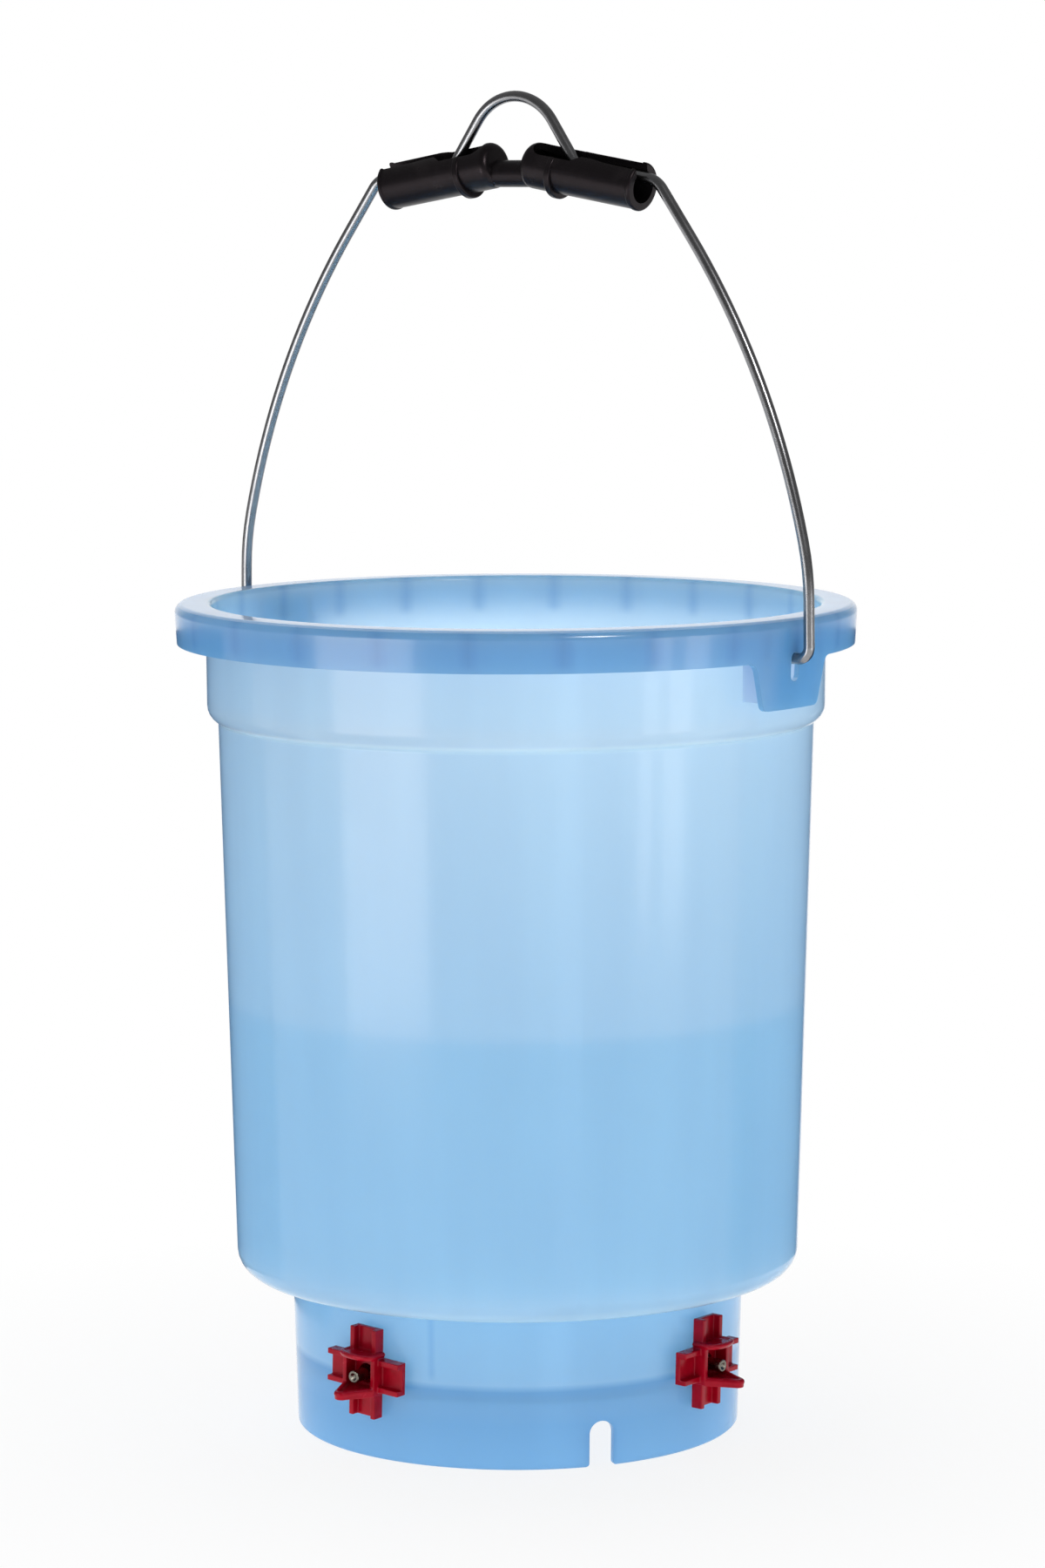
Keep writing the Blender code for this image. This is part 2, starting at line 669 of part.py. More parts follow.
bail.location = (0, 0, PIVOT_Z)
finish(bail, WIRE)

# Nipple body: cross plate with channel arms, beak box, hood, tongue and threaded stem

arm_front = PLATE_BACK + ARM_DEPTH
half_outline = [
    (ARM_HALF, CROSS_HALF), (-ARM_HALF, CROSS_HALF), (-ARM_HALF, ARM_HALF),
    (-CROSS_HALF, ARM_HALF), (-CROSS_HALF, -ARM_HALF), (-ARM_HALF, -ARM_HALF),
]
cross_outline = half_outline + [(-y, -z) for y, z in half_outline]
rise = Matrix.Translation((0, 0, CROSS_RISE))
body = prism("nipple_body", cross_outline, PLATE_BACK, arm_front, rise @ ACROSS)
channel_half = ARM_HALF - ARM_RIB
channel_starts = (BOX_HALF, HOOD_TOP - CROSS_RISE, BOX_HALF, CROSS_RISE - TONGUE_LOW)
channels = merged("channels", [
    block(
        "channel",
        (PLATE_FRONT, start, -channel_half),
        (arm_front + CUT_PAST, CROSS_HALF + CUT_PAST, channel_half),
        rise @ Matrix.Rotation(math.pi / 2 * quarter, 4, "X"),
    )
    for quarter, start in enumerate(channel_starts)
])
combine(body, [channels], "DIFFERENCE")

box_back = PLATE_BACK + PLATE_THICK / 2
hood_curve = [
    (BOX_FRONT + HOOD_OVERHANG * math.cos(a), BOX_HALF * math.sin(a))
    for a in (math.radians(step * 15 - 90) for step in range(13))
]
hood_outline = [(box_back, BOX_HALF), (box_back, -BOX_HALF)] + hood_curve
hood = prism("hood", hood_outline, HOOD_TOP - HOOD_THICK, HOOD_TOP)
tongue_lean = math.degrees(math.atan2(BOX_HALF - TONGUE_TIP_R, TONGUE_REACH))
tongue_tip = arc(BOX_FRONT + TONGUE_REACH, 0, TONGUE_TIP_R, tongue_lean - 90, 90 - tongue_lean, 8)
tongue_base = [(BOX_FRONT, BOX_HALF), (box_back, BOX_HALF), (box_back, -BOX_HALF), (BOX_FRONT, -BOX_HALF)]
tongue = prism("tongue", tongue_base + tongue_tip, TONGUE_LOW, TONGUE_LOW + TONGUE_THICK)
cheeks = merged("cheeks", [
    block(
        "cheek",
        (box_back, low_y, TONGUE_LOW + TONGUE_THICK / 2),
        (BOX_FRONT - CHEEK_SET_BACK, low_y + BOX_WALL, HOOD_TOP - HOOD_THICK / 2),
    )
    for low_y in (-BOX_HALF, BOX_HALF - BOX_WALL)
])
combine(body, [hood, tongue, cheeks], "UNION")

opening = block(
    "beak_opening",
    (PLATE_FRONT, BOX_WALL - BOX_HALF, TONGUE_LOW + TONGUE_THICK),
    (arm_front + SEAT_GAP, BOX_HALF - BOX_WALL, HOOD_TOP - HOOD_THICK),
)
stem_profile = [(0, box_back), (STEM_R, box_back), (STEM_R, THREAD_START)]
for ridge in range(THREAD_RIDGES):
    crest = THREAD_START - (ridge + 0.5) * THREAD_PITCH
    stem_profile += [(THREAD_R, crest), (STEM_R, crest - THREAD_PITCH / 2)]
stem_profile += [(STEM_R, STEM_END), (0, STEM_END)]
stem = turned("stem", stem_profile, STEM_SIDES, place=AXIS_OUT)
bore_back_r = PIN_R + BORE_PLAY
bore_front_r = bore_back_r + BORE_FLARE
bore = turned("bore", [
    (0, PLATE_FRONT + CUT_PAST),
    (bore_front_r, PLATE_FRONT + CUT_PAST),
    (bore_front_r, PLATE_FRONT),
    (bore_back_r, CHAMBER_FRONT),
    (CHAMBER_R, CHAMBER_FRONT),
    (CHAMBER_R, STEM_END - CUT_PAST),
    (0, STEM_END - CUT_PAST),
], STEM_SIDES, place=AXIS_OUT)
combine(body, [opening], "DIFFERENCE")
combine(body, [stem], "UNION")
combine(body, [bore], "DIFFERENCE")
finish(body, RED)

# Small pieces of one nipple, each turned or wound about the nipple's axis

gasket = turned("gasket", [
    (GASKET_R, SEAT_GAP + GASKET_THICK),
    (GASKET_R, SEAT_GAP),
    (GASKET_HOLE_R, SEAT_GAP),
    (GASKET_HOLE_R, SEAT_GAP + GASKET_THICK),
], STEM_SIDES, closed=True, place=AXIS_OUT)
finish(gasket, RUBBER)

pin_reach = PIN_TIP - PIN_HEAD_FRONT
pin = turned("pin", [
    (0, pin_reach - PIN_DIMPLE),
    (PIN_DIMPLE_R, pin_reach),
    (PIN_R - PIN_EDGE, pin_reach),
    (PIN_R, pin_reach - PIN_EDGE),
    (PIN_R, 0),
    (PIN_R + PIN_EDGE, 0),
    (PIN_HEAD_R, -PIN_HEAD_THICK / 2),
    (PIN_HEAD_R - PIN_HEAD_EDGE, -PIN_HEAD_THICK),
    (0, -PIN_HEAD_THICK),
], STEM_SIDES, place=AXIS_OUT)
finish(pin, STEEL)

seat_ring_r = CHAMBER_R - SEAT_GAP
seat_ring_hole_r = PIN_R + SEAT_RING_PLAY
seat_ring = turned("seat_ring", [
    (seat_ring_r - SEAT_RING_EDGE, SEAT_RING_FRONT),
    (seat_ring_r, SEAT_RING_FRONT - SEAT_RING_EDGE),
    (seat_ring_r, SEAT_RING_BACK + SEAT_RING_EDGE),
    (seat_ring_r - SEAT_RING_EDGE, SEAT_RING_BACK),
    (seat_ring_hole_r + SEAT_RING_EDGE, SEAT_RING_BACK),
    (seat_ring_hole_r, SEAT_RING_BACK + SEAT_RING_EDGE),
    (seat_ring_hole_r, SEAT_RING_FRONT),
], RING_SIDES, closed=True, place=AXIS_OUT)
finish(seat_ring, RUBBER)

coil_r = PIN_HEAD_R - COIL_INSET
coil_count = round(COIL_TURNS * COIL_POINTS)
coil_line = [
    Vector((
        COIL_FRONT + (COIL_BACK - COIL_FRONT) * k / coil_count,
        coil_r * math.cos(math.tau * k / COIL_POINTS),
        coil_r * math.sin(math.tau * k / COIL_POINTS),
    ))
    for k in range(coil_count + 1)
]
spring = tube("spring", coil_line, COIL_WIRE_R, 0)
finish(spring, SPRING_STEEL)

cap_r = CHAMBER_R - SEAT_GAP
inlet_cap = turned("inlet_cap", [
    (CAP_HOLE_R, CAP_FRONT),
    (cap_r, CAP_FRONT),
    (cap_r, CAP_FLANGE_FRONT),
    (STEM_R, CAP_FLANGE_FRONT),
    (STEM_R, CAP_BACK + CAP_EDGE),
    (STEM_R - CAP_EDGE, CAP_BACK),
    (CAP_HOLE_R, CAP_BACK),
], RING_SIDES, closed=True, place=AXIS_OUT)
finish(inlet_cap, WHITE)

# A set for each nipple. A pin's own origin is where its head tilts on the seat ring

pieces = {
    "body": body,
    "gasket": gasket,
    "pin": pin,
    "seat_ring": seat_ring,
    "spring": spring,
    "inlet_cap": inlet_cap,
}
for number, place in enumerate(nipple_places, 1):
    for kind, pattern in pieces.items():
        shift = Matrix.Translation((PIN_HEAD_FRONT if kind == "pin" else 0, 0, 0))
        copy = bpy.data.objects.new(f"nipple_{number}_{kind}", pattern.data)
        copy.matrix_world = place @ shift
        waterer.objects.link(copy)
for pattern in pieces.values():
    bpy.data.objects.remove(pattern, do_unlink=True)
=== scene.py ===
"""Looks of the bucket drinker: translucent bucket, galvanised bail, black grip, four red nipples.

Metres, +Z up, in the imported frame. Sizes repeat those of the solids, and the round forms are finer.
"""

import json
import math

import bmesh
import bpy
from mathutils import Matrix, Vector

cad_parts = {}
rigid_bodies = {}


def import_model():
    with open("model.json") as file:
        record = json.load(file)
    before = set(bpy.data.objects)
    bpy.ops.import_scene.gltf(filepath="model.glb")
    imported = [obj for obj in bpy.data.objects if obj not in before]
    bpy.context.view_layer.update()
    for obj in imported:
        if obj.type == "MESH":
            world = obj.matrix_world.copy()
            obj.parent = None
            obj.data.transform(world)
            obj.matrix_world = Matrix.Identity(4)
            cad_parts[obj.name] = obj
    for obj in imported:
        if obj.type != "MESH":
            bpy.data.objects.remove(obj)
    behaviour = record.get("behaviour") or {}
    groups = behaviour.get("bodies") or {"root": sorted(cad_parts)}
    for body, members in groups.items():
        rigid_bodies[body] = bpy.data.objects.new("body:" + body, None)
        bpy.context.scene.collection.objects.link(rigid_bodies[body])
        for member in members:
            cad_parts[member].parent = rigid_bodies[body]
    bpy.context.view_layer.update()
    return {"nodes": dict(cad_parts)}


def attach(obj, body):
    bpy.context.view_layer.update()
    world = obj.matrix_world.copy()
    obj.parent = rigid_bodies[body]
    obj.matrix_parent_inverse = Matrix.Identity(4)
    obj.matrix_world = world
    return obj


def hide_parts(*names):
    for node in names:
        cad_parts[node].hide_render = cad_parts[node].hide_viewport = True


for leftover in list(bpy.data.objects):
    bpy.data.objects.remove(leftover, do_unlink=True)

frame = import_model()

# Sides and steps of the round forms, and the turn between two points of a rounded corner

BUCKET_SIDES = 180
BARREL_SIDES = 48
STEM_SIDES = 40
WIRE_STEPS = 6
BEAD_STEPS = 4
EAR_SLOT_STEPS = 16
NOTCH_STEPS = 20
OVAL_STEPS = 8
TONGUE_STEPS = 14
HOOD_STEPS = 18
MENISCUS_STEPS = 6
PATH_TURN = math.radians(5)
PROFILE_TURN = math.radians(15)
PATH_CHORD = 0.006

# How far a cutter runs past what it cuts, and the gap left where two pieces seat

CUT_PAST = 0.004
SEAT_GAP = 0.0003

# How near two points are when they count as one, and the turn from which an edge is sharp

SEAM_GAP = 0.000001
WELD_GAP = 0.000004
SHARP_TURN = math.radians(32)

# Bucket

HEIGHT = 0.3056
RIM_R = 0.1253
RIM_ROUND = 0.0032
RIM_INNER_ROUND = 0.0020
RIM_UNDER_ROUND = 0.0010
RIM_OVERHANG = 0.0115
WALL = 0.0022
SKIRT_WALL = 0.0020
SKIRT_DEPTH = 0.0147
SKIRT_DRAFT = 0.0612
NECK_DRAFT = 0.0003
STEP_DEPTH = 0.0426
STEP_IN = 0.0043
STEP_RISE = 0.0016
STEP_FILLET = 0.0065
STEP_EDGE = 0.0010
INNER_STEP_LIFT = 0.0029
INNER_STEP_RISE = 0.0031
INNER_STEP_FILLET = 0.0020
INNER_STEP_EDGE = 0.0030
BODY_TAPER = 0.0055
SHOULDER_Z = 0.0575
SHOULDER_ROUND = 0.0085
SHOULDER_IN = 0.0203
SHOULDER_DISH = 0.0003
SHOULDER_FILLET = 0.0006
BASE_TAPER = 0.0016
BASE_WALL = 0.0024
BASE_TOP_ROUND = 0.0015
FLOOR_THICK = 0.0022
FLOOR_ROUND = 0.0030
FLOOR_UNDER_ROUND = 0.0010
FLOOR_BELOW_STEM = 0.00095
FOOT_CHAMFER = 0.0006
FOOT_ROUND = 0.0008

RIB_COUNT = 24
RIB_THICK = 0.0014
RIB_SET_BACK = 0.0015
RIB_BITE = 0.0010

EAR_DEPTH = 0.0320
EAR_BOTTOM_HALF = 0.0164
EAR_TOP_HALF = 0.0214
EAR_CORNER = 0.0030
EAR_FILLET = 0.0040
EAR_WEB_RISE = 0.0030
EAR_SLOT_PLAY = 0.0005
EAR_SLOT_FOOT = 0.0097
PIVOT_DEPTH = 0.0142

NOTCH_ANGLE = math.radians(-31)
NOTCH_WIDTH = 0.0093
NOTCH_BELOW_FLOOR = 0.0077
NOTCH_FLARE = 0.0015

# Bail

WIRE_R = 0.0020
LEG_OUT = 0.0049
LEG_BEND = 0.0043
HOOK_OUT = 0.0023
HOOK_TOP_GAP = 0.0041
HOOK_BEND = 0.0031
LEG_TOP_IN = 0.0004
LEG_TOP_RISE = 0.0311
LEG_TOP_BEND = 0.095
SWEEP_IN = 0.0163
SWEEP_RISE = 0.0998
SWEEP_BEND = 0.285
MOUTH_OUT = 0.00604
MOUTH_BEND = 0.0100
FOOT_ALONG = 0.02046
FOOT_BEND = 0.0045
ARCH_SLOPE = math.radians(55)
ARCH_R = 0.0208

# Grip

GRIP_RISE = 0.17303
BARREL_R = 0.0084
BARREL_WALL = 0.0025
BARREL_SLOPE = math.radians(9.2)
BARREL_INNER_X = 0.0076
BARREL_LENGTH = 0.0508
BARREL_END_WALL = 0.0024
BARREL_DOME = 0.0028
BARREL_LIP = 0.0008
BARREL_EDGE = 0.0003
BARREL_EDGE_TURN = math.radians(50)
MOUTH_BEAD = 0.0004
MOUTH_BEAD_WIDTH = 0.0014
BEAD_RUNOUT = 0.0006
GRIP_NECK_R = 0.0049
GRIP_NECK_DROP = 0.00333
GRIP_NECK_BITE = 0.0014
FINGER_RIB_RISE = 0.0008
FINGER_RIB_DROP = 0.0011
FINGER_RIB_WIDTH = 0.0026
FINGER_RIB_EDGE = 0.0006
FINGER_RIB_AT = 0.0138
OVAL_START = 0.0030
OVAL_HALF = 0.0048
OVAL_LENGTH = 0.0225
OVAL_NARROWING = 0.0036
PINCH_HALF = 0.0023
PINCH_LENGTH = 0.0045
MOUTH_SLOT_HALF = 0.0034
MOUTH_SLOT_FLARE = 0.0005
MOUTH_SLOT_RUNOUT = 0.0060
SLOT_START_RISE = 0.0010
WIRE_BELOW_BORE_TOP = 0.00035
GRIP_ROLL = math.radians(20)

# Nipple

NIPPLE_BELOW_SHOULDER = 0.0251
NIPPLE_ANGLES = (0, 90, 180, 268.5)
NIPPLE_ROLLS = (0, 0, 0, -3)
CROSS_RISE = 0.0006
CROSS_HALF = 0.01655
PLATE_THICK = 0.0020
ARM_HALF = 0.0060
ARM_RIB = 0.0020
ARM_DEPTH = 0.0046
BOX_HALF = 0.0074
BOX_WALL = 0.0018
BOX_DEPTH = 0.0070
CHEEK_SET_BACK = 0.0002
HOOD_TOP = 0.0084
HOOD_THICK = 0.0015
HOOD_OVERHANG = 0.0038
TONGUE_LOW = -0.0066
TONGUE_THICK = 0.0020
TONGUE_REACH = 0.0088
TONGUE_TIP_R = 0.0025
BEAD_INSET = 0.0006
BEAD_HALF = 0.0068
HOOD_BEAD_R = 0.0010
HOOD_BEAD_DROP = 0.0004
TONGUE_BEAD_INSET = 0.0010
TONGUE_BEAD_R = 0.0013
TONGUE_BEAD_RISE = 0.0019
TONGUE_BEAD_ROOT = 0.0010
MELT_VOXEL = 0.00022
MELT_PASSES = 7
MELT_KEPT = 0.25

GASKET_THICK = 0.0008
PIN_R = 0.0020
PIN_REACH = 0.0024
PIN_TIP_R = 0.0023
PIN_TIP_START = 0.0009
PIN_EDGE = 0.0003
PIN_FILLET = 0.0001
PIN_SHOULDER_ROUND = 0.0002
PIN_SHOULDER_RUNOUT = 0.0003
PIN_HEAD_PLAY = 0.0004
PIN_HEAD_THICK = 0.0012
PIN_HEAD_EDGE = 0.0002
PIN_DIMPLE_R = 0.00145
PIN_DIMPLE = 0.0005
PIN_DIMPLE_FLAT = 0.4
PIN_DIMPLE_ROUND = 0.0006
PIN_DIMPLE_EDGE = 0.00012
CHAMBER_R = 0.0036
CHAMBER_DEPTH = 0.0060
CHAMBER_LENGTH = 0.0109
STEM_WALL = 0.0008
THREAD_RISE = 0.00035
THREAD_PITCH = 0.0020
THREAD_START = -0.0026
THREAD_RIDGES = 4
WALL_HOLE_PLAY = 0.0003
BORE_PLAY = 0.0007
BORE_FLARE = 0.0009
SEAT_RING_THICK = 0.0012
SEAT_RING_TO_PIN = 0.0004

# Water standing in the bucket, with its edge drawn up where it meets the wall

WATER_Z = 0.158
WATER_GAP = 0.0003
MENISCUS = 0.0016

# Derived sizes

NECK_R = RIM_R - RIM_OVERHANG
BODY_TOP_R = NECK_R - STEP_IN
BODY_LOW_R = BODY_TOP_R - BODY_TAPER
BASE_TOP_R = BODY_LOW_R - SHOULDER_IN
BASE_FOOT_R = BASE_TOP_R - BASE_TAPER
BASE_SLOPE = BASE_TAPER / SHOULDER_Z
RIM_UNDER_Z = HEIGHT - SKIRT_WALL
SKIRT_BOTTOM_Z = HEIGHT - SKIRT_DEPTH
EAR_BOTTOM_Z = HEIGHT - EAR_DEPTH
PIVOT_Z = HEIGHT - PIVOT_DEPTH
STEP_Z = HEIGHT - STEP_DEPTH
STEM_R = CHAMBER_R + STEM_WALL
THREAD_R = STEM_R + THREAD_RISE
WALL_HOLE_R = THREAD_R + WALL_HOLE_PLAY
PLATE_BACK = GASKET_THICK + 2 * SEAT_GAP
PLATE_FRONT = PLATE_BACK + PLATE_THICK
BOX_FRONT = PLATE_BACK + BOX_DEPTH
CHAMBER_FRONT = PLATE_BACK - CHAMBER_DEPTH
STEM_END = CHAMBER_FRONT - CHAMBER_LENGTH
SEAT_RING_BACK = CHAMBER_FRONT - SEAT_GAP - SEAT_RING_THICK
PIN_HEAD_FRONT = SEAT_RING_BACK - SEAT_RING_TO_PIN
PIN_HEAD_R = CHAMBER_R - PIN_HEAD_PLAY
PIN_TIP = BOX_FRONT + PIN_REACH
NIPPLE_Z = SHOULDER_Z - NIPPLE_BELOW_SHOULDER
NIPPLE_FACE_R = BASE_FOOT_R + BASE_SLOPE * NIPPLE_Z
FLOOR_Z = NIPPLE_Z - THREAD_R - FLOOR_BELOW_STEM
FLOOR_UNDER_Z = FLOOR_Z - FLOOR_THICK
NOTCH_TOP_Z = FLOOR_UNDER_Z - NOTCH_BELOW_FLOOR

ACROSS = Matrix(((0, 0, 1, 0), (1, 0, 0, 0), (0, 1, 0, 0), (0, 0, 0, 1)))
AXIS_OUT = Matrix.Rotation(math.pi / 2, 4, "Y")
HALF_FACET = Matrix.Rotation(math.pi / BUCKET_SIDES, 4, "Z")
OTHER_SIDE = Matrix.Diagonal((-1, -1, 1, 1))


# Shapes


def rounded_path(corners, most_turn):
    """Points along (x, z, radius) corners, each inner corner an arc of its own radius."""
    points = [corners[0][:2]]
    for (ax, az, _), (bx, bz, radius), (cx, cz, _) in zip(corners, corners[1:], corners[2:]):
        if radius == 0:
            points.append((bx, bz))
            continue
        heading = math.atan2(bz - az, bx - ax)
        turn = math.remainder(math.atan2(cz - bz, cx - bx) - heading, math.tau)
        reach = radius * math.tan(abs(turn) / 2)
        x = bx - reach * math.cos(heading)
        z = bz - reach * math.sin(heading)
        points.append((x, z))
        steps = max(1, math.ceil(abs(turn) / most_turn), math.ceil(abs(turn) * radius / PATH_CHORD))
        chord = 2 * radius * math.sin(abs(turn) / (2 * steps))
        for step in range(steps):
            along = heading + turn * (step + 0.5) / steps
            x += chord * math.cos(along)
            z += chord * math.sin(along)
            points.append((x, z))
    points.append(corners[-1][:2])
    return points


def arc(centre_x, centre_y, radius, start, end, steps):
    """Points on a circle from one angle in degrees to another, ends included."""
    turns = [math.radians(start + (end - start) * k / steps) for k in range(steps + 1)]
    return [(centre_x + radius * math.cos(a), centre_y + radius * math.sin(a)) for a in turns]


def link(name, mesh):
    obj = bpy.data.objects.new(name, mesh)
    bpy.context.scene.collection.objects.link(obj)
    return obj


def bake(obj):
    """Replaces the object's mesh by the one that its modifiers give."""
    bpy.context.view_layer.update()
    result = bpy.data.meshes.new_from_object(obj.evaluated_get(bpy.context.evaluated_depsgraph_get()))
    result.name = obj.name
    obj.modifiers.clear()
    obj.data = result
    return obj


def turned(name, profile, sides, closed=False, place=None):
    """Solid turned about Z from (radius, height) points that run down the outer side."""
    count = len(profile)
    edges = [(k, (k + 1) % count) for k in range(count if closed else count - 1)]
    mesh = bpy.data.meshes.new(name)
    mesh.from_pydata([(radius, 0, height) for radius, height in profile], edges, [])
    obj = link(name, mesh)
    screw = obj.modifiers.new("turn", "SCREW")
    screw.angle = math.tau
    screw.steps = sides
    screw.render_steps = sides
    screw.use_merge_vertices = True
    screw.merge_threshold = SEAM_GAP
    bake(obj)
    if place is not None:
        obj.data.transform(place)
    return obj


def prism(name, outline, low, high, place=None):
    """Solid between two copies of a flat outline, drawn in X and Y and pushed along Z."""
    shape = bmesh.new()
    ring = [shape.verts.new((x, y, low)) for x, y in outline]
    face = shape.faces.new(ring)
    pushed = bmesh.ops.extrude_face_region(shape, geom=[face])
    tops = [v for v in pushed["geom"] if isinstance(v, bmesh.types.BMVert)]
    bmesh.ops.translate(shape, verts=tops, vec=(0, 0, high - low))
    bmesh.ops.recalc_face_normals(shape, faces=shape.faces)
    mesh = bpy.data.meshes.new(name)
    shape.to_mesh(mesh)
    shape.free()
    if place is not None:
        mesh.transform(place)
    return link(name, mesh)


def block(name, low, high, place=None):
    """Box between two opposite corners."""
    outline = [(low[0], low[1]), (high[0], low[1]), (high[0], high[1]), (low[0], high[1])]
    return prism(name, outline, low[2], high[2], place)


def combine(obj, tools, operation):
    """Joins the tools to the object or cuts them from it, and removes them."""
    for tool in tools:
        step = obj.modifiers.new(tool.name, "BOOLEAN")
        step.operation = operation
        step.solver = "EXACT"
        step.object = tool
    bake(obj)
    for tool in tools:
        bpy.data.objects.remove(tool, do_unlink=True)
    return obj


def merged(name, pieces):
    """One mesh that holds several separate solids."""
    shape = bmesh.new()
    for piece in pieces:
        shape.from_mesh(piece.data)
        bpy.data.objects.remove(piece, do_unlink=True)
    mesh = bpy.data.meshes.new(name)
    shape.to_mesh(mesh)
    shape.free()
    return link(name, mesh)


def tidy(obj):
    """Welds the seams that the cuts leave."""
    shape = bmesh.new()
    shape.from_mesh(obj.data)
    bmesh.ops.remove_doubles(shape, verts=shape.verts, dist=WELD_GAP)
    bmesh.ops.dissolve_degenerate(shape, edges=shape.edges, dist=WELD_GAP)
    bmesh.ops.recalc_face_normals(shape, faces=shape.faces)
    shape.to_mesh(obj.data)
    shape.free()
    return obj


def soften(obj, width, turn):
    """Small rounded edges where two faces meet at more than the turn."""
    edge = obj.modifiers.new("edge", "BEVEL")
    edge.width = width
    edge.segments = 2
    edge.limit_method = "ANGLE"
    edge.angle_limit = turn
    return bake(obj)


def melt(obj, voxel, passes, kept):
    """Every edge and inner corner rounded, as in a moulding, with a share of the faces kept."""
    remesh = obj.modifiers.new("remesh", "REMESH")
    remesh.mode = "VOXEL"
    remesh.voxel_size = voxel
    smooth = obj.modifiers.new("smooth", "SMOOTH")
    smooth.factor = 0.5
    smooth.iterations = passes
    thin = obj.modifiers.new("thin", "DECIMATE")
    thin.ratio = kept
    return bake(obj)


def dress(obj, look, body, nodes):
    """Shades a finished piece and says what it rides on and stands for."""
    obj.data.materials.clear()
    obj.data.materials.append(look)
    obj.data.shade_smooth()
    obj.data.set_sharp_from_angle(angle=SHARP_TURN)
    weights = obj.modifiers.new("weights", "WEIGHTED_NORMAL")
    weights.keep_sharp = True
    bake(obj)
    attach(obj, body)
    if nodes:
        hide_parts(*nodes)
    return obj


def tube(name, points, radius, resolution):
    """Round wire along a line of points, closed at both ends."""
    curve = bpy.data.curves.new(name, "CURVE")
    curve.dimensions = "3D"
    curve.bevel_depth = radius
    curve.bevel_resolution = resolution
    curve.use_fill_caps = True
    spline = curve.splines.new("POLY")
    spline.points.add(len(points) - 1)
    for point, place in zip(spline.points, points):
        point.co = (*place, 1.0)
    source = link(name + "_line", curve)
    bpy.context.view_layer.update()
    graph = bpy.context.evaluated_depsgraph_get()
    mesh = bpy.data.meshes.new_from_object(source.evaluated_get(graph))
    bpy.data.objects.remove(source, do_unlink=True)
    return tidy(link(name, mesh))


def base_radius(height):
    return BASE_FOOT_R + BASE_SLOPE * height


def skirt_radius(height):
    return RIM_R - SKIRT_DRAFT * (HEIGHT - height)


def nipple_place(angle, roll):
    """Frame on the base ring's face: X out of the wall, Y along it, Z up it, rolled about X."""
    turn = Matrix.Rotation(math.radians(angle), 4, "Z")
    on_face = Matrix.Translation((NIPPLE_FACE_R, 0, NIPPLE_Z))
    tilt = Matrix.Rotation(math.atan(BASE_SLOPE), 4, "Y")
    return turn @ on_face @ tilt @ Matrix.Rotation(math.radians(roll), 4, "X")


nipple_places = [nipple_place(angle, roll) for angle, roll in zip(NIPPLE_ANGLES, NIPPLE_ROLLS)]


# Materials: the parts of a noise's range that a change is spread over

MOST_NOISE = (0.3, 0.7)
MID_NOISE = (0.35, 0.65)
HIGH_NOISE = (0.35, 0.7)
TOP_NOISE = (0.5, 0.75)
CLOUDS = (0.15, 0.40)

# Colours, gloss tints and roughness of the looks; a pair goes from one to the other

BODY_CHANGE = (0.97, 1.03)
PASSED_CHANGE = (0.985, 1.015)
# The warm tint of the bucket's gloss is painted light: it gives the highlights the warm colour of the lamps
BUCKET_GLOSS = (1.0, 0.82, 0.66)
BUCKET_ROUGHNESS = (0.16, 0.26)
BUCKET_COAT_ROUGHNESS = 0.12
WATER_COLOUR = (0.35, 0.62, 0.82)
WATER_CLEAR = (0.81, 0.945, 0.985)
WATER_CLEAR_SHARE = 0.94
WATER_ROUGHNESS = 0.04
WATER_IOR = 1.33
WIRE_COLOURS = ((0.29, 0.29, 0.30), (0.33, 0.33, 0.34))
WIRE_ROUGHNESS = (0.22, 0.30)
GRIP_COLOURS = ((0.007, 0.006, 0.007), (0.014, 0.012, 0.013))
GRIP_GLOSS = (1.0, 0.80, 0.86)
GRIP_GLOSS_LEVEL = 0.22
GRIP_ROUGHNESS = (0.36, 0.26)
NIPPLE_COLOURS = ((0.27, 0.0005, 0.008), (0.37, 0.001, 0.014))
NIPPLE_GLOSS = (1.0, 0.38, 0.45)
NIPPLE_GLOSS_LEVEL = 0.4
NIPPLE_ROUGHNESS = (0.16, 0.28)
METAL_BUMP = 0.00003
DULL_BUMP = 0.00004

# Tints of the bucket: painted shadows of the ribs, painted shade under the floor, a darker upright line and a
# painted highlight at the shoulder and the step, and the heights and turns between which they change

# RIB_TINT darkens the colours for the painted shadows of the ribs, and for the darker upright line in the base
# ring
RIB_TINT = (0.30, 0.55, 0.80)
RIB_SHADOW_HALF = 0.0002
RIB_SHADOW_END = 0.0038
RIB_SHADOW_RISE = 0.003
BELOW_FLOOR_SHADE = (0.355, 0.61, 0.79)
BELOW_FLOOR_BODY_SHADE = (0.24, 0.56, 0.78)
BELOW_FLOOR_SHADE_END = (0.0285, 0.0310)
BELOW_FLOOR_FADE = (0.016, 0.026)
BELOW_FLOOR_FADE_SHARE = 0.84
DARK_LINE_TURN = math.radians(-74.3)
DARK_LINE_SPREAD = (0.004, 0.024)
DARK_LINE_SHARE = 0.22
DARK_LINE_FOOT = (0.031, 0.034)
DARK_LINE_TOP = (SHOULDER_Z - 0.002, SHOULDER_Z)
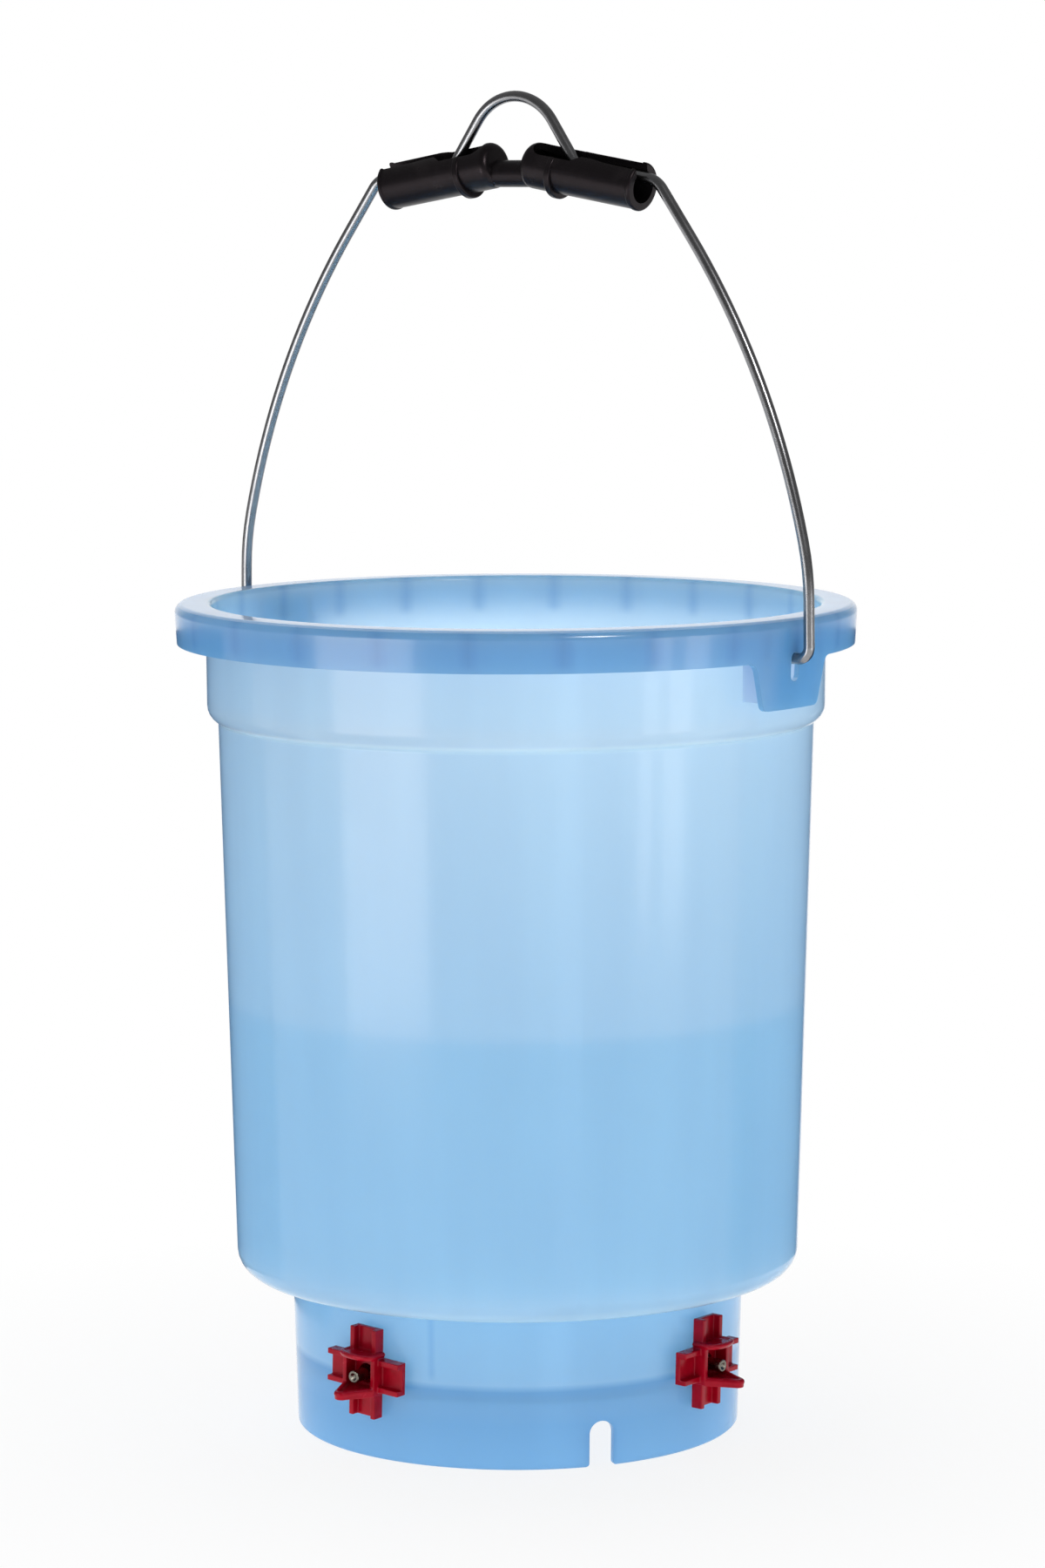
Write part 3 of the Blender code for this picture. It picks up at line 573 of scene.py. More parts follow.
# Colour and heights of the painted highlight at the shoulder's edge and along the step
PAINTED_EDGE_HIGHLIGHT = (0.90, 0.96, 1.0)
HIGHLIGHT_FOOT = (SHOULDER_Z - 0.0010, SHOULDER_Z - 0.0003)
HIGHLIGHT_TOP = (SHOULDER_Z + 0.0004, SHOULDER_Z + 0.0042)
STEP_HIGHLIGHT_Z = STEP_Z - 0.0003
STEP_HIGHLIGHT_SPREAD = (0.0006, 0.0016)
STEP_HIGHLIGHT_SHARE = 0.8
SLANT_POWER = 5.0


def surface(name):
    """A new node material, its tree and its Principled shader."""
    made = bpy.data.materials.new(name)
    made.use_nodes = True
    return made, made.node_tree, made.node_tree.nodes["Principled BSDF"]


def give(tree, socket, value):
    """Sets a socket to a value, or links it to another node's output."""
    if isinstance(value, bpy.types.NodeSocket):
        tree.links.new(value, socket)
    elif socket.type == "RGBA":
        socket.default_value = (*value, 1.0)
    else:
        socket.default_value = value


def fill(tree, node, **inputs):
    """Gives a node's inputs by name, with _ for a space."""
    for key, value in inputs.items():
        give(tree, node.inputs[key.replace("_", " ")], value)


def add(tree, kind, **inputs):
    """A new node with its inputs given by name."""
    made = tree.nodes.new(kind)
    fill(tree, made, **inputs)
    return made


def place_in_part(tree):
    """The point of the part in metres, as a socket."""
    return tree.nodes.new("ShaderNodeTexCoord").outputs["Object"]


def noise(tree, point, scale, detail=3.0, rough=0.5, stretch=None):
    """Noise of a scale given in features for each metre."""
    if stretch is not None:
        point = add(tree, "ShaderNodeMapping", Vector=point, Scale=stretch).outputs["Vector"]
    made = add(tree, "ShaderNodeTexNoise", Vector=point, Scale=scale, Detail=detail, Roughness=rough)
    return made.outputs["Fac"]


def ramp(tree, value, low, high, to_low, to_high):
    """A value carried from one range to another, held at its ends."""
    made = add(
        tree, "ShaderNodeMapRange", Value=value, From_Min=low, From_Max=high, To_Min=to_low, To_Max=to_high
    )
    made.clamp = True
    return made.outputs["Result"]


def maths(tree, operation, first, second=0.0):
    made = tree.nodes.new("ShaderNodeMath")
    made.operation = operation
    give(tree, made.inputs[0], first)
    give(tree, made.inputs[1], second)
    return made.outputs[0]


def distance_from(tree, value, middle):
    return maths(tree, "ABSOLUTE", maths(tree, "SUBTRACT", value, middle))


def band(tree, value, rise, fall):
    """1 between two slopes, each given by its start and end, and 0 outside them."""
    return maths(tree, "MULTIPLY", ramp(tree, value, *rise, 0.0, 1.0), ramp(tree, value, *fall, 1.0, 0.0))


def reach_towards(tree, vector, way):
    """How far a vector reaches in a given direction."""
    made = add(tree, "ShaderNodeVectorMath", Vector=vector)
    made.operation = "DOT_PRODUCT"
    made.inputs[1].default_value = way
    return made.outputs["Value"]


def stops(tree, value, table):
    """A value carried through (place, level) stops."""
    made = tree.nodes.new("ShaderNodeValToRGB")
    tree.links.new(value, made.inputs["Fac"])
    marks = made.color_ramp.elements
    while len(marks) < len(table):
        marks.new(1.0)
    for mark, (place, level) in zip(marks, table):
        mark.position = place
        mark.color = (level, level, level, 1.0)
    return made.outputs["Color"]


def blend_colour(tree, factor, first, second):
    """Two colours mixed by a factor."""
    made = tree.nodes.new("ShaderNodeMix")
    made.data_type = "RGBA"
    for name, given in (("Factor_Float", factor), ("A_Color", first), ("B_Color", second)):
        give(tree, next(socket for socket in made.inputs if socket.identifier == name), given)
    return next(socket for socket in made.outputs if socket.identifier == "Result_Color")


def mix_shaders(tree, share, first, second):
    """Two shader sockets mixed, with the second one's share."""
    mix = add(tree, "ShaderNodeMixShader", Fac=share)
    tree.links.new(first, mix.inputs[1])
    tree.links.new(second, mix.inputs[2])
    return mix.outputs["Shader"]


def show(tree, shader):
    tree.links.new(shader, tree.nodes["Material Output"].inputs["Surface"])


def bumps(tree, shader, height, distance, strength):
    """Bump from a height socket; distance is how tall the height 1 stands, in metres."""
    made = add(tree, "ShaderNodeBump", Height=height, Distance=distance, Strength=strength)
    tree.links.new(made.outputs["Normal"], shader.inputs["Normal"])
    return made.outputs["Normal"]


def shade(colour, share):
    """A colour made darker or lighter, held at white."""
    return tuple(min(1.0, c * share) for c in colour)


def tinted(colour, tint):
    return tuple(c * t for c, t in zip(colour, tint))


def rib_shadow(tree, turn, height):
    """1 over the ribs behind the rim, falling to 0 between them, as the light from behind shows them."""
    pitches = maths(tree, "MULTIPLY", maths(tree, "ADD", turn, math.pi / RIB_COUNT), RIB_COUNT / math.tau)
    aside = distance_from(tree, maths(tree, "FRACT", pitches), 0.5)
    per_metre = RIB_COUNT / math.tau / NECK_R
    across = ramp(tree, aside, RIB_SHADOW_HALF * per_metre, RIB_SHADOW_END * per_metre, 1.0, 0.0)
    upward = ramp(tree, height, SKIRT_BOTTOM_Z, SKIRT_BOTTOM_Z + RIB_SHADOW_RISE, 0.0, 1.0)
    return maths(tree, "MULTIPLY", across, upward)


def painted_floor_shade(tree, height, share):
    """Painted shade on the part of the base ring under the floor, which no light comes through from the inside.
    """
    low = ramp(tree, height, *BELOW_FLOOR_SHADE_END, share, 0.0)
    return maths(tree, "MULTIPLY", low, ramp(tree, height, *BELOW_FLOOR_FADE, 1.0, BELOW_FLOOR_FADE_SHARE))


def darker_upright_line(tree, turn, height):
    """A faint darker upright line in the base ring."""
    across = ramp(tree, distance_from(tree, turn, DARK_LINE_TURN), *DARK_LINE_SPREAD, DARK_LINE_SHARE, 0.0)
    return maths(tree, "MULTIPLY", across, band(tree, height, DARK_LINE_FOOT, DARK_LINE_TOP))


def painted_edge_highlight(tree, height):
    """Painted highlight along the shoulder's edge and along the step."""
    shoulder = band(tree, height, HIGHLIGHT_FOOT, HIGHLIGHT_TOP)
    off_step = distance_from(tree, height, STEP_HIGHLIGHT_Z)
    return maths(tree, "MAXIMUM", shoulder, ramp(tree, off_step, *STEP_HIGHLIGHT_SPREAD, STEP_HIGHLIGHT_SHARE, 0.0))


def bucket_surface(name, reflect, through, glow_share, ribs=0.0, base=0.0):
    """Milky plastic: a glossy skin over a wall that lets light through, except where it is met at a slant.

    The last two say how strongly the painted shadows of the ribs and the painted shade under the floor show.
    """
    made, tree, shader = surface(name)
    point = place_in_part(tree)
    parts = add(tree, "ShaderNodeSeparateXYZ", Vector=point)
    turn = maths(tree, "ARCTAN2", parts.outputs["Y"], parts.outputs["X"])
    height = parts.outputs["Z"]
    cloud = noise(tree, point, scale=9.0)
    streak = noise(tree, point, scale=1.0, detail=2.0, stretch=(60.0, 60.0, 5.0))
    change = ramp(tree, maths(tree, "MULTIPLY", cloud, streak), *CLOUDS, 0.0, 1.0)
    body = blend_colour(tree, change, *(shade(reflect, share) for share in BODY_CHANGE))
    passed = blend_colour(tree, change, *(shade(through, share) for share in PASSED_CHANGE))
    darker = (tinted(reflect, RIB_TINT), tinted(through, RIB_TINT))
    layers = []
    if ribs:
        layers.append((maths(tree, "MULTIPLY", rib_shadow(tree, turn, height), ribs), *darker))
    if base:
        # Painted shade of the base ring under the floor
        low = painted_floor_shade(tree, height, base)
        layers.append((low, tinted(reflect, BELOW_FLOOR_BODY_SHADE), tinted(through, BELOW_FLOOR_SHADE)))
        layers.append((darker_upright_line(tree, turn, height), *darker))
        # Painted highlight at the shoulder's edge and the step
        layers.append((painted_edge_highlight(tree, height), PAINTED_EDGE_HIGHLIGHT, PAINTED_EDGE_HIGHLIGHT))
    for share, over_body, over_passed in layers:
        body = blend_colour(tree, share, body, over_body)
        passed = blend_colour(tree, share, passed, over_passed)
    wear = noise(tree, point, scale=45.0, detail=5.0, rough=0.6)
    fill(
        tree, shader, Base_Color=body, Roughness=ramp(tree, wear, *HIGH_NOISE, *BUCKET_ROUGHNESS),
        Specular_IOR_Level=1.0, Specular_Tint=BUCKET_GLOSS,
        Coat_Weight=1.0, Coat_Roughness=BUCKET_COAT_ROUGHNESS,
    )
    grain = noise(tree, point, scale=1400.0, detail=2.0)
    normal = bumps(tree, shader, grain, distance=0.00002, strength=0.5)
    glow = add(tree, "ShaderNodeBsdfTranslucent", Color=passed, Normal=normal)
    slant = add(tree, "ShaderNodeLayerWeight", Blend=0.5).outputs["Facing"]
    share = ramp(tree, maths(tree, "POWER", slant, SLANT_POWER), 0.0, 1.0, glow_share, 0.0)
    show(tree, mix_shaders(tree, share, shader.outputs["BSDF"], glow.outputs["BSDF"]))
    return made


def water_surface():
    """Clear water that takes up a little red, with a thin mirror at its surface."""
    made, tree, shader = surface("water_look")
    fill(tree, shader, Base_Color=WATER_COLOUR, Roughness=WATER_ROUGHNESS, IOR=WATER_IOR)
    ripple = noise(tree, place_in_part(tree), scale=30.0, detail=2.0)
    bumps(tree, shader, ripple, distance=0.0004, strength=0.3)
    clear = add(tree, "ShaderNodeBsdfTransparent", Color=WATER_CLEAR)
    show(tree, mix_shaders(tree, WATER_CLEAR_SHARE, shader.outputs["BSDF"], clear.outputs["BSDF"]))
    return made


def wire_surface():
    """Drawn and galvanised steel wire with faint spangle and dull stretches."""
    made, tree, shader = surface("bail_wire_look")
    point = place_in_part(tree)
    spangle = noise(tree, point, scale=420.0, detail=4.0, rough=0.6)
    dull = noise(tree, point, scale=60.0)
    spots = ramp(tree, spangle, *MID_NOISE, 0.0, 1.0)
    fill(
        tree, shader, Base_Color=blend_colour(tree, spots, *WIRE_COLOURS),
        Metallic=1.0, Roughness=ramp(tree, dull, *MOST_NOISE, *WIRE_ROUGHNESS),
    )
    bumps(tree, shader, spangle, distance=0.000002, strength=0.3)
    return made


def grip_surface():
    """Black moulded plastic, satin, with rubbed patches."""
    made, tree, shader = surface("grip_plastic_look")
    point = place_in_part(tree)
    rubbed = noise(tree, point, scale=90.0, detail=5.0, rough=0.6)
    patches = ramp(tree, rubbed, *TOP_NOISE, 0.0, 1.0)
    fill(
        tree, shader, Base_Color=blend_colour(tree, patches, *GRIP_COLOURS),
        Roughness=ramp(tree, rubbed, *HIGH_NOISE, *GRIP_ROUGHNESS),
        Specular_IOR_Level=GRIP_GLOSS_LEVEL, Specular_Tint=GRIP_GLOSS,
    )
    bumps(tree, shader, noise(tree, point, scale=1600.0), distance=0.00005, strength=0.5)
    return made


def nipple_surface():
    """Crimson moulded plastic, satin, a little uneven."""
    made, tree, shader = surface("nipple_plastic_look")
    point = place_in_part(tree)
    flow = noise(tree, point, scale=160.0, detail=4.0, rough=0.6)
    patches = ramp(tree, flow, *HIGH_NOISE, 0.0, 1.0)
    fill(
        tree, shader, Base_Color=blend_colour(tree, patches, *NIPPLE_COLOURS),
        Roughness=ramp(tree, flow, *MOST_NOISE, *NIPPLE_ROUGHNESS),
        Specular_IOR_Level=NIPPLE_GLOSS_LEVEL, Specular_Tint=NIPPLE_GLOSS,
    )
    bumps(tree, shader, noise(tree, point, scale=900.0), distance=0.00003, strength=0.5)
    return made


def plain_surface(name, dark, light, smooth, rough, scale, metallic=0.0):
    """Bare steel with turning marks, or matt rubber or plastic with a faint mottle."""
    made, tree, shader = surface(name)
    mottle = noise(tree, place_in_part(tree), scale, detail=4.0, rough=0.6)
    fill(
        tree, shader, Base_Color=blend_colour(tree, mottle, dark, light), Metallic=metallic,
        Roughness=ramp(tree, mottle, *MOST_NOISE, smooth, rough),
    )
    bumps(tree, shader, mottle, distance=METAL_BUMP if metallic else DULL_BUMP, strength=0.5)
    return made


# One milky plastic in three copies: the rim's and ears' copy is darker, painted shade for the light that the
# neck behind them holds back, and the inner wall's copy is more saturated, painted light for the bright light
# inside it
OUTER_WALL = bucket_surface("bucket_outer_look", (0.51, 0.71, 0.98), (0.90, 0.925, 0.985), 0.75, base=0.9)
INNER_WALL = bucket_surface("bucket_inner_look", (0.48, 0.84, 1.0), (0.76, 0.93, 1.0), 0.855, ribs=0.22)
RIM = bucket_surface("bucket_rim_look", (0.16, 0.41, 0.72), (0.59, 0.84, 1.0), 0.65, ribs=0.22)
WATER = water_surface()
WIRE = wire_surface()
GRIP = grip_surface()
NIPPLE = nipple_surface()
PIN = plain_surface("pin_steel_look", (0.13, 0.12, 0.10), (0.30, 0.28, 0.24), 0.16, 0.30, 2200.0, 1.0)
SPRING = plain_surface("spring_steel_look", (0.50, 0.50, 0.50), (0.66, 0.66, 0.66), 0.20, 0.34, 1800.0, 1.0)
RUBBER = plain_surface("gasket_rubber_look", (0.012, 0.012, 0.012), (0.028, 0.028, 0.028), 0.64, 0.80, 700.0)
CAP = plain_surface("cap_plastic_look", (0.74, 0.74, 0.71), (0.82, 0.82, 0.80), 0.38, 0.54, 300.0)

for name, node in frame["nodes"].items():
    for ending, look in (("gasket", RUBBER), ("seat_ring", RUBBER), ("spring", SPRING), ("inlet_cap", CAP)):
        if name.endswith(ending):
            node.data.materials.clear()
            node.data.materials.append(look)


# Bucket

inner_step_z = STEP_Z + INNER_STEP_LIFT
inner_wall = [
    (0, FLOOR_Z, 0),
    (base_radius(FLOOR_Z) - BASE_WALL, FLOOR_Z, FLOOR_ROUND),
    (BASE_TOP_R - BASE_WALL, SHOULDER_Z + WALL, BASE_TOP_ROUND),
    (BODY_LOW_R - WALL, SHOULDER_Z + WALL, SHOULDER_ROUND - WALL),
    (BODY_TOP_R - WALL, inner_step_z, INNER_STEP_FILLET),
    (NECK_R - WALL, inner_step_z + INNER_STEP_RISE, INNER_STEP_EDGE),
    (NECK_R - WALL, HEIGHT, RIM_INNER_ROUND),
]
bucket_profile = rounded_path(inner_wall + [
    (RIM_R, HEIGHT, RIM_ROUND),
    (skirt_radius(SKIRT_BOTTOM_Z), SKIRT_BOTTOM_Z, 0),
    (skirt_radius(EAR_BOTTOM_Z), EAR_BOTTOM_Z, 0),
    (skirt_radius(EAR_BOTTOM_Z) - SKIRT_WALL, EAR_BOTTOM_Z, 0),
    (skirt_radius(RIM_UNDER_Z) - SKIRT_WALL, RIM_UNDER_Z, RIM_UNDER_ROUND),
    (NECK_R, RIM_UNDER_Z, RIM_UNDER_ROUND),
    (NECK_R - NECK_DRAFT, STEP_Z + STEP_RISE / 2, STEP_FILLET),
    (BODY_TOP_R, STEP_Z - STEP_RISE / 2, STEP_EDGE),
    (BODY_LOW_R, SHOULDER_Z, SHOULDER_ROUND),
    (BASE_TOP_R, SHOULDER_Z - SHOULDER_DISH, SHOULDER_FILLET),
    (BASE_FOOT_R, FOOT_CHAMFER, FOOT_ROUND),
    (BASE_FOOT_R - FOOT_CHAMFER, 0, 0),
    (BASE_FOOT_R - BASE_WALL, 0, 0),
    (base_radius(FLOOR_UNDER_Z) - BASE_WALL, FLOOR_UNDER_Z, FLOOR_UNDER_ROUND),
    (0, FLOOR_UNDER_Z, 0),
], PROFILE_TURN)
bucket = turned("bucket_shell", bucket_profile, BUCKET_SIDES, place=HALF_FACET)
outside_r = RIM_R + CUT_PAST
behind_skirt_r = (NECK_R + skirt_radius(PIVOT_Z) - SKIRT_WALL) / 2

ear_edge = EAR_TOP_HALF + 2 * EAR_FILLET
ear_side = rounded_path([
    (0, EAR_BOTTOM_Z - CUT_PAST, 0),
    (0, EAR_BOTTOM_Z, 0),
    (EAR_BOTTOM_HALF, EAR_BOTTOM_Z, EAR_CORNER),
    (EAR_TOP_HALF, SKIRT_BOTTOM_Z, EAR_FILLET),
    (ear_edge, SKIRT_BOTTOM_Z, 0),
    (ear_edge, SKIRT_BOTTOM_Z + EAR_FILLET, 0),
], PROFILE_TURN)[1:]
ear_outline = ear_side + [(-y, z) for y, z in reversed(ear_side[1:])]
ear_shape = prism("ear_shape", ear_outline, -outside_r, outside_r, ACROSS)
skirt_cut = turned("skirt_cut", [
    (outside_r, SKIRT_BOTTOM_Z),
    (outside_r, EAR_BOTTOM_Z - CUT_PAST),
    (behind_skirt_r, EAR_BOTTOM_Z - CUT_PAST),
    (behind_skirt_r, SKIRT_BOTTOM_Z),
], BUCKET_SIDES, closed=True, place=HALF_FACET)
combine(skirt_cut, [ear_shape], "DIFFERENCE")

# A rib at every pitch but the ears' own, and a web half a pitch to either side of each ear's slot

ribs = []
rib_steps = [step for step in range(2, 2 * RIB_COUNT, 2) if step != RIB_COUNT]
web_steps = [1, RIB_COUNT - 1, RIB_COUNT + 1, 2 * RIB_COUNT - 1]
for step in rib_steps + web_steps:
    low = EAR_BOTTOM_Z + EAR_WEB_RISE if step in web_steps else SKIRT_BOTTOM_Z + RIB_SET_BACK
    ribs.append(block(
        "rib",
        (NECK_R - RIB_BITE, -RIB_THICK / 2, low),
        (skirt_radius(low) - SKIRT_WALL + RIB_BITE, RIB_THICK / 2, RIM_UNDER_Z + RIB_BITE),
        Matrix.Rotation(math.pi * step / RIB_COUNT, 4, "Z"),
    ))
rib_set = merged("rib_set", ribs)

slot_half = WIRE_R + EAR_SLOT_PLAY
slot_low_z = EAR_BOTTOM_Z + EAR_SLOT_FOOT + slot_half
slot_outline = arc(0, PIVOT_Z, slot_half, 0, 180, EAR_SLOT_STEPS)
slot_outline += arc(0, slot_low_z, slot_half, 180, 360, EAR_SLOT_STEPS)
slots = merged("ear_slots", [
    prism("slot", slot_outline, behind_skirt_r, outside_r, side @ ACROSS)
    for side in (Matrix.Identity(4), OTHER_SIDE)
])

notch_half = NOTCH_WIDTH / 2
notch_side = rounded_path([
    (notch_half + 2 * NOTCH_FLARE, -CUT_PAST, 0),
    (notch_half + 2 * NOTCH_FLARE, -NOTCH_FLARE / 10, 0),
    (notch_half, 0, NOTCH_FLARE),
    (notch_half, NOTCH_TOP_Z - notch_half, 0),
], PROFILE_TURN)
notch_top = arc(0, NOTCH_TOP_Z - notch_half, notch_half, 0, 180, NOTCH_STEPS)
notch_outline = notch_side[:-1] + notch_top + [(-y, z) for y, z in reversed(notch_side[:-1])]
notch = prism("notch", notch_outline, -outside_r, outside_r, Matrix.Rotation(NOTCH_ANGLE, 4, "Z") @ ACROSS)

hole_back = -BASE_WALL - FLOOR_ROUND - CUT_PAST
hole_profile = [(0, CUT_PAST), (WALL_HOLE_R, CUT_PAST), (WALL_HOLE_R, hole_back), (0, hole_back)]
hole_set = merged("nipple_holes", [
    turned("hole", hole_profile, STEM_SIDES, place=place @ AXIS_OUT) for place in nipple_places
])
combine(bucket, [rib_set], "UNION")
combine(bucket, [skirt_cut, slots, notch, hole_set], "DIFFERENCE")
tidy(bucket)
dress(bucket, OUTER_WALL, "bucket", ["bucket"])
bucket.data.materials.append(INNER_WALL)
bucket.data.materials.append(RIM)
OUTER_LOOK, INNER_LOOK, RIM_LOOK = 0, 1, 2

# How far a face's normal points out or up, from -1 to 1, for it to belong to a side

RIB_SIDE_OUT = 0.5
RIB_SIDE_UP = 0.7
RIM_TOP_UP = 0.6
INSIDE_OUT = -0.3
FLOOR_UP = 0.5


def look_of(face):
    """Which of the bucket's looks a face takes: the outer wall, the inner wall's lit copy or the rim's shaded
    copy; the ribs and the rim's flat top go with the outer wall.
    """
    outward = Vector((face.center.x, face.center.y, 0))
    radius = outward.length
    height = face.center.z
    facing_out = face.normal.dot(outward.normalized())
    if height > EAR_BOTTOM_Z - CUT_PAST and radius > NECK_R - WALL / 4:
        on_neck = radius < NECK_R + RIB_BITE and height < RIM_UNDER_Z - RIM_INNER_ROUND
        behind_skirt = radius < skirt_radius(height) - SKIRT_WALL - SEAT_GAP
        on_rib = behind_skirt and abs(facing_out) < RIB_SIDE_OUT and abs(face.normal.z) < RIB_SIDE_UP
        on_top = face.normal.z > RIM_TOP_UP and radius < RIM_R - RIM_ROUND / 2
        return OUTER_LOOK if on_neck or on_rib or on_top else RIM_LOOK
    return INNER_LOOK if facing_out < INSIDE_OUT or face.normal.z > FLOOR_UP else OUTER_LOOK


for face in bucket.data.polygons:
    face.material_index = look_of(face)


# Water in the bucket


def inner_radius(height):
    """Inner wall of the wide part at a height."""
    low_z = SHOULDER_Z + WALL
    return BODY_LOW_R - WALL + (BODY_TOP_R - BODY_LOW_R) * (height - low_z) / (inner_step_z - low_z)


water_wall = [(max(0, radius - WATER_GAP), z + WATER_GAP, corner) for radius, z, corner in inner_wall[:4]]
edge_r = inner_radius(WATER_Z) - WATER_GAP
water_profile = rounded_path(water_wall + [(edge_r, WATER_Z + MENISCUS, 0)], PROFILE_TURN)
water_profile += [
    (edge_r - MENISCUS * (1 - math.cos(a)), WATER_Z + MENISCUS * (1 - math.sin(a)))
    for a in (math.radians(90 * step / MENISCUS_STEPS) for step in range(1, MENISCUS_STEPS + 1))
]
water_profile.append((0, WATER_Z))
water = turned("drinking_water", water_profile, BUCKET_SIDES, place=HALF_FACET)
dress(water, WATER, "bucket", [])


# Grip

barrel_inner_z = PIVOT_Z + GRIP_RISE
bore_r = BARREL_R - BARREL_WALL
bead_r = BARREL_R + MOUTH_BEAD
mouth_bead_start = BARREL_LENGTH - MOUTH_BEAD_WIDTH
barrel_profile = rounded_path([
    (0, BARREL_LENGTH, 0),
    (bead_r, BARREL_LENGTH, BARREL_LIP),
    (bead_r, mouth_bead_start, 0),
    (BARREL_R, mouth_bead_start - BEAD_RUNOUT, 0),
    (BARREL_R, 0, BARREL_DOME),
    (0, 0, 0),
], PROFILE_TURN)
finger_rib_r = BARREL_R + FINGER_RIB_RISE
rib_low = FINGER_RIB_AT - FINGER_RIB_WIDTH / 2
rib_high = FINGER_RIB_AT + FINGER_RIB_WIDTH / 2
finger_rib_profile = rounded_path([
    (0, rib_high, 0),
    (finger_rib_r, rib_high, FINGER_RIB_EDGE),
    (finger_rib_r, rib_low, FINGER_RIB_EDGE),
    (0, rib_low, 0),
], PROFILE_TURN)
bore_end = BARREL_LENGTH + CUT_PAST
barrel_bore_profile = [(0, bore_end), (bore_r, bore_end), (bore_r, BARREL_END_WALL), (0, BARREL_END_WALL)]
oval_end = OVAL_START + OVAL_LENGTH
pinch_end = oval_end + PINCH_LENGTH
slot_side = [
    (bore_end + CUT_PAST, MOUTH_SLOT_HALF),
    (pinch_end + MOUTH_SLOT_RUNOUT, MOUTH_SLOT_HALF - MOUTH_SLOT_FLARE),
    (pinch_end, PINCH_HALF),
    (oval_end, PINCH_HALF),
    (oval_end - OVAL_NARROWING, OVAL_HALF),
]
slot_side += arc(OVAL_START + OVAL_HALF, 0, OVAL_HALF, 90, 180, OVAL_STEPS)
grip_slot_outline = slot_side + [(x, -y) for x, y in reversed(slot_side[:-1])]

finger_drop = Matrix.Translation((FINGER_RIB_DROP, 0, 0))
slot_turn = Matrix.Rotation(-math.pi / 2, 4, "Y")
barrel_place = Matrix.Translation((BARREL_INNER_X, 0, barrel_inner_z))
barrels = []
for side, roll in ((Matrix.Identity(4), GRIP_ROLL), (OTHER_SIDE, -GRIP_ROLL)):
    barrel = turned("barrel", barrel_profile, BARREL_SIDES)
    finger_rib = turned("finger_rib", finger_rib_profile, BARREL_SIDES, place=finger_drop)
    hollow = turned("barrel_hollow", barrel_bore_profile, BARREL_SIDES)
    rolled = Matrix.Rotation(roll, 4, "Z") @ slot_turn
    barrel_slot = prism("barrel_slot", grip_slot_outline, SLOT_START_RISE, BARREL_R + CUT_PAST, rolled)
    combine(barrel, [finger_rib], "UNION")
    combine(barrel, [combine(hollow, [barrel_slot], "UNION")], "DIFFERENCE")
    tidy(barrel)
    soften(barrel, BARREL_EDGE, BARREL_EDGE_TURN)
    barrel.data.transform(side @ barrel_place @ Matrix.Rotation(math.pi / 2 + BARREL_SLOPE, 4, "Y"))
    barrels.append(barrel)

neck_half = BARREL_INNER_X + GRIP_NECK_BITE
neck_turn = Matrix.Translation((0, 0, barrel_inner_z - GRIP_NECK_DROP)) @ AXIS_OUT
neck_profile = [(0, neck_half), (GRIP_NECK_R, neck_half), (GRIP_NECK_R, -neck_half), (0, -neck_half)]
grip = turned("grip_clip", neck_profile, BARREL_SIDES, place=neck_turn)
combine(grip, barrels, "UNION")
tidy(grip)
dress(grip, GRIP, "bail", ["grip"])


# Bail

leg_x = RIM_R + LEG_OUT
hook_x = NECK_R + HOOK_OUT + WIRE_R
wire_in_bore = bore_r - WIRE_R - WIRE_BELOW_BORE_TOP
wire_at_inner_z = barrel_inner_z + wire_in_bore / math.cos(BARREL_SLOPE)


def wire_in_barrel_z(x):
    return wire_at_inner_z - (x - BARREL_INNER_X) * math.tan(BARREL_SLOPE)


mouth_x = BARREL_INNER_X + BARREL_LENGTH * math.cos(BARREL_SLOPE) + MOUTH_OUT
foot_x = BARREL_INNER_X + FOOT_ALONG * math.cos(BARREL_SLOPE)
arch_corner_z = wire_in_barrel_z(foot_x) + foot_x * math.tan(ARCH_SLOPE)
half_path = [
    (hook_x, RIM_UNDER_Z - HOOK_TOP_GAP, 0),
    (hook_x, PIVOT_Z, HOOK_BEND),
    (leg_x, PIVOT_Z, LEG_BEND),
    (leg_x - LEG_TOP_IN, PIVOT_Z + LEG_TOP_RISE, LEG_TOP_BEND),
    (leg_x - SWEEP_IN, PIVOT_Z + SWEEP_RISE, SWEEP_BEND),
    (mouth_x, wire_in_barrel_z(mouth_x), MOUTH_BEND),
    (foot_x, wire_in_barrel_z(foot_x), FOOT_BEND),
]
other_half = [(-x, z, radius) for x, z, radius in reversed(half_path)]
whole_path = half_path + [(0, arch_corner_z, ARCH_R)] + other_half
bail_line = [(x, 0, z) for x, z in rounded_path(whole_path, PATH_TURN)]
bail = tube("bail_wire", bail_line, WIRE_R, WIRE_STEPS)
dress(bail, WIRE, "bail", ["bail"])


# Nipples

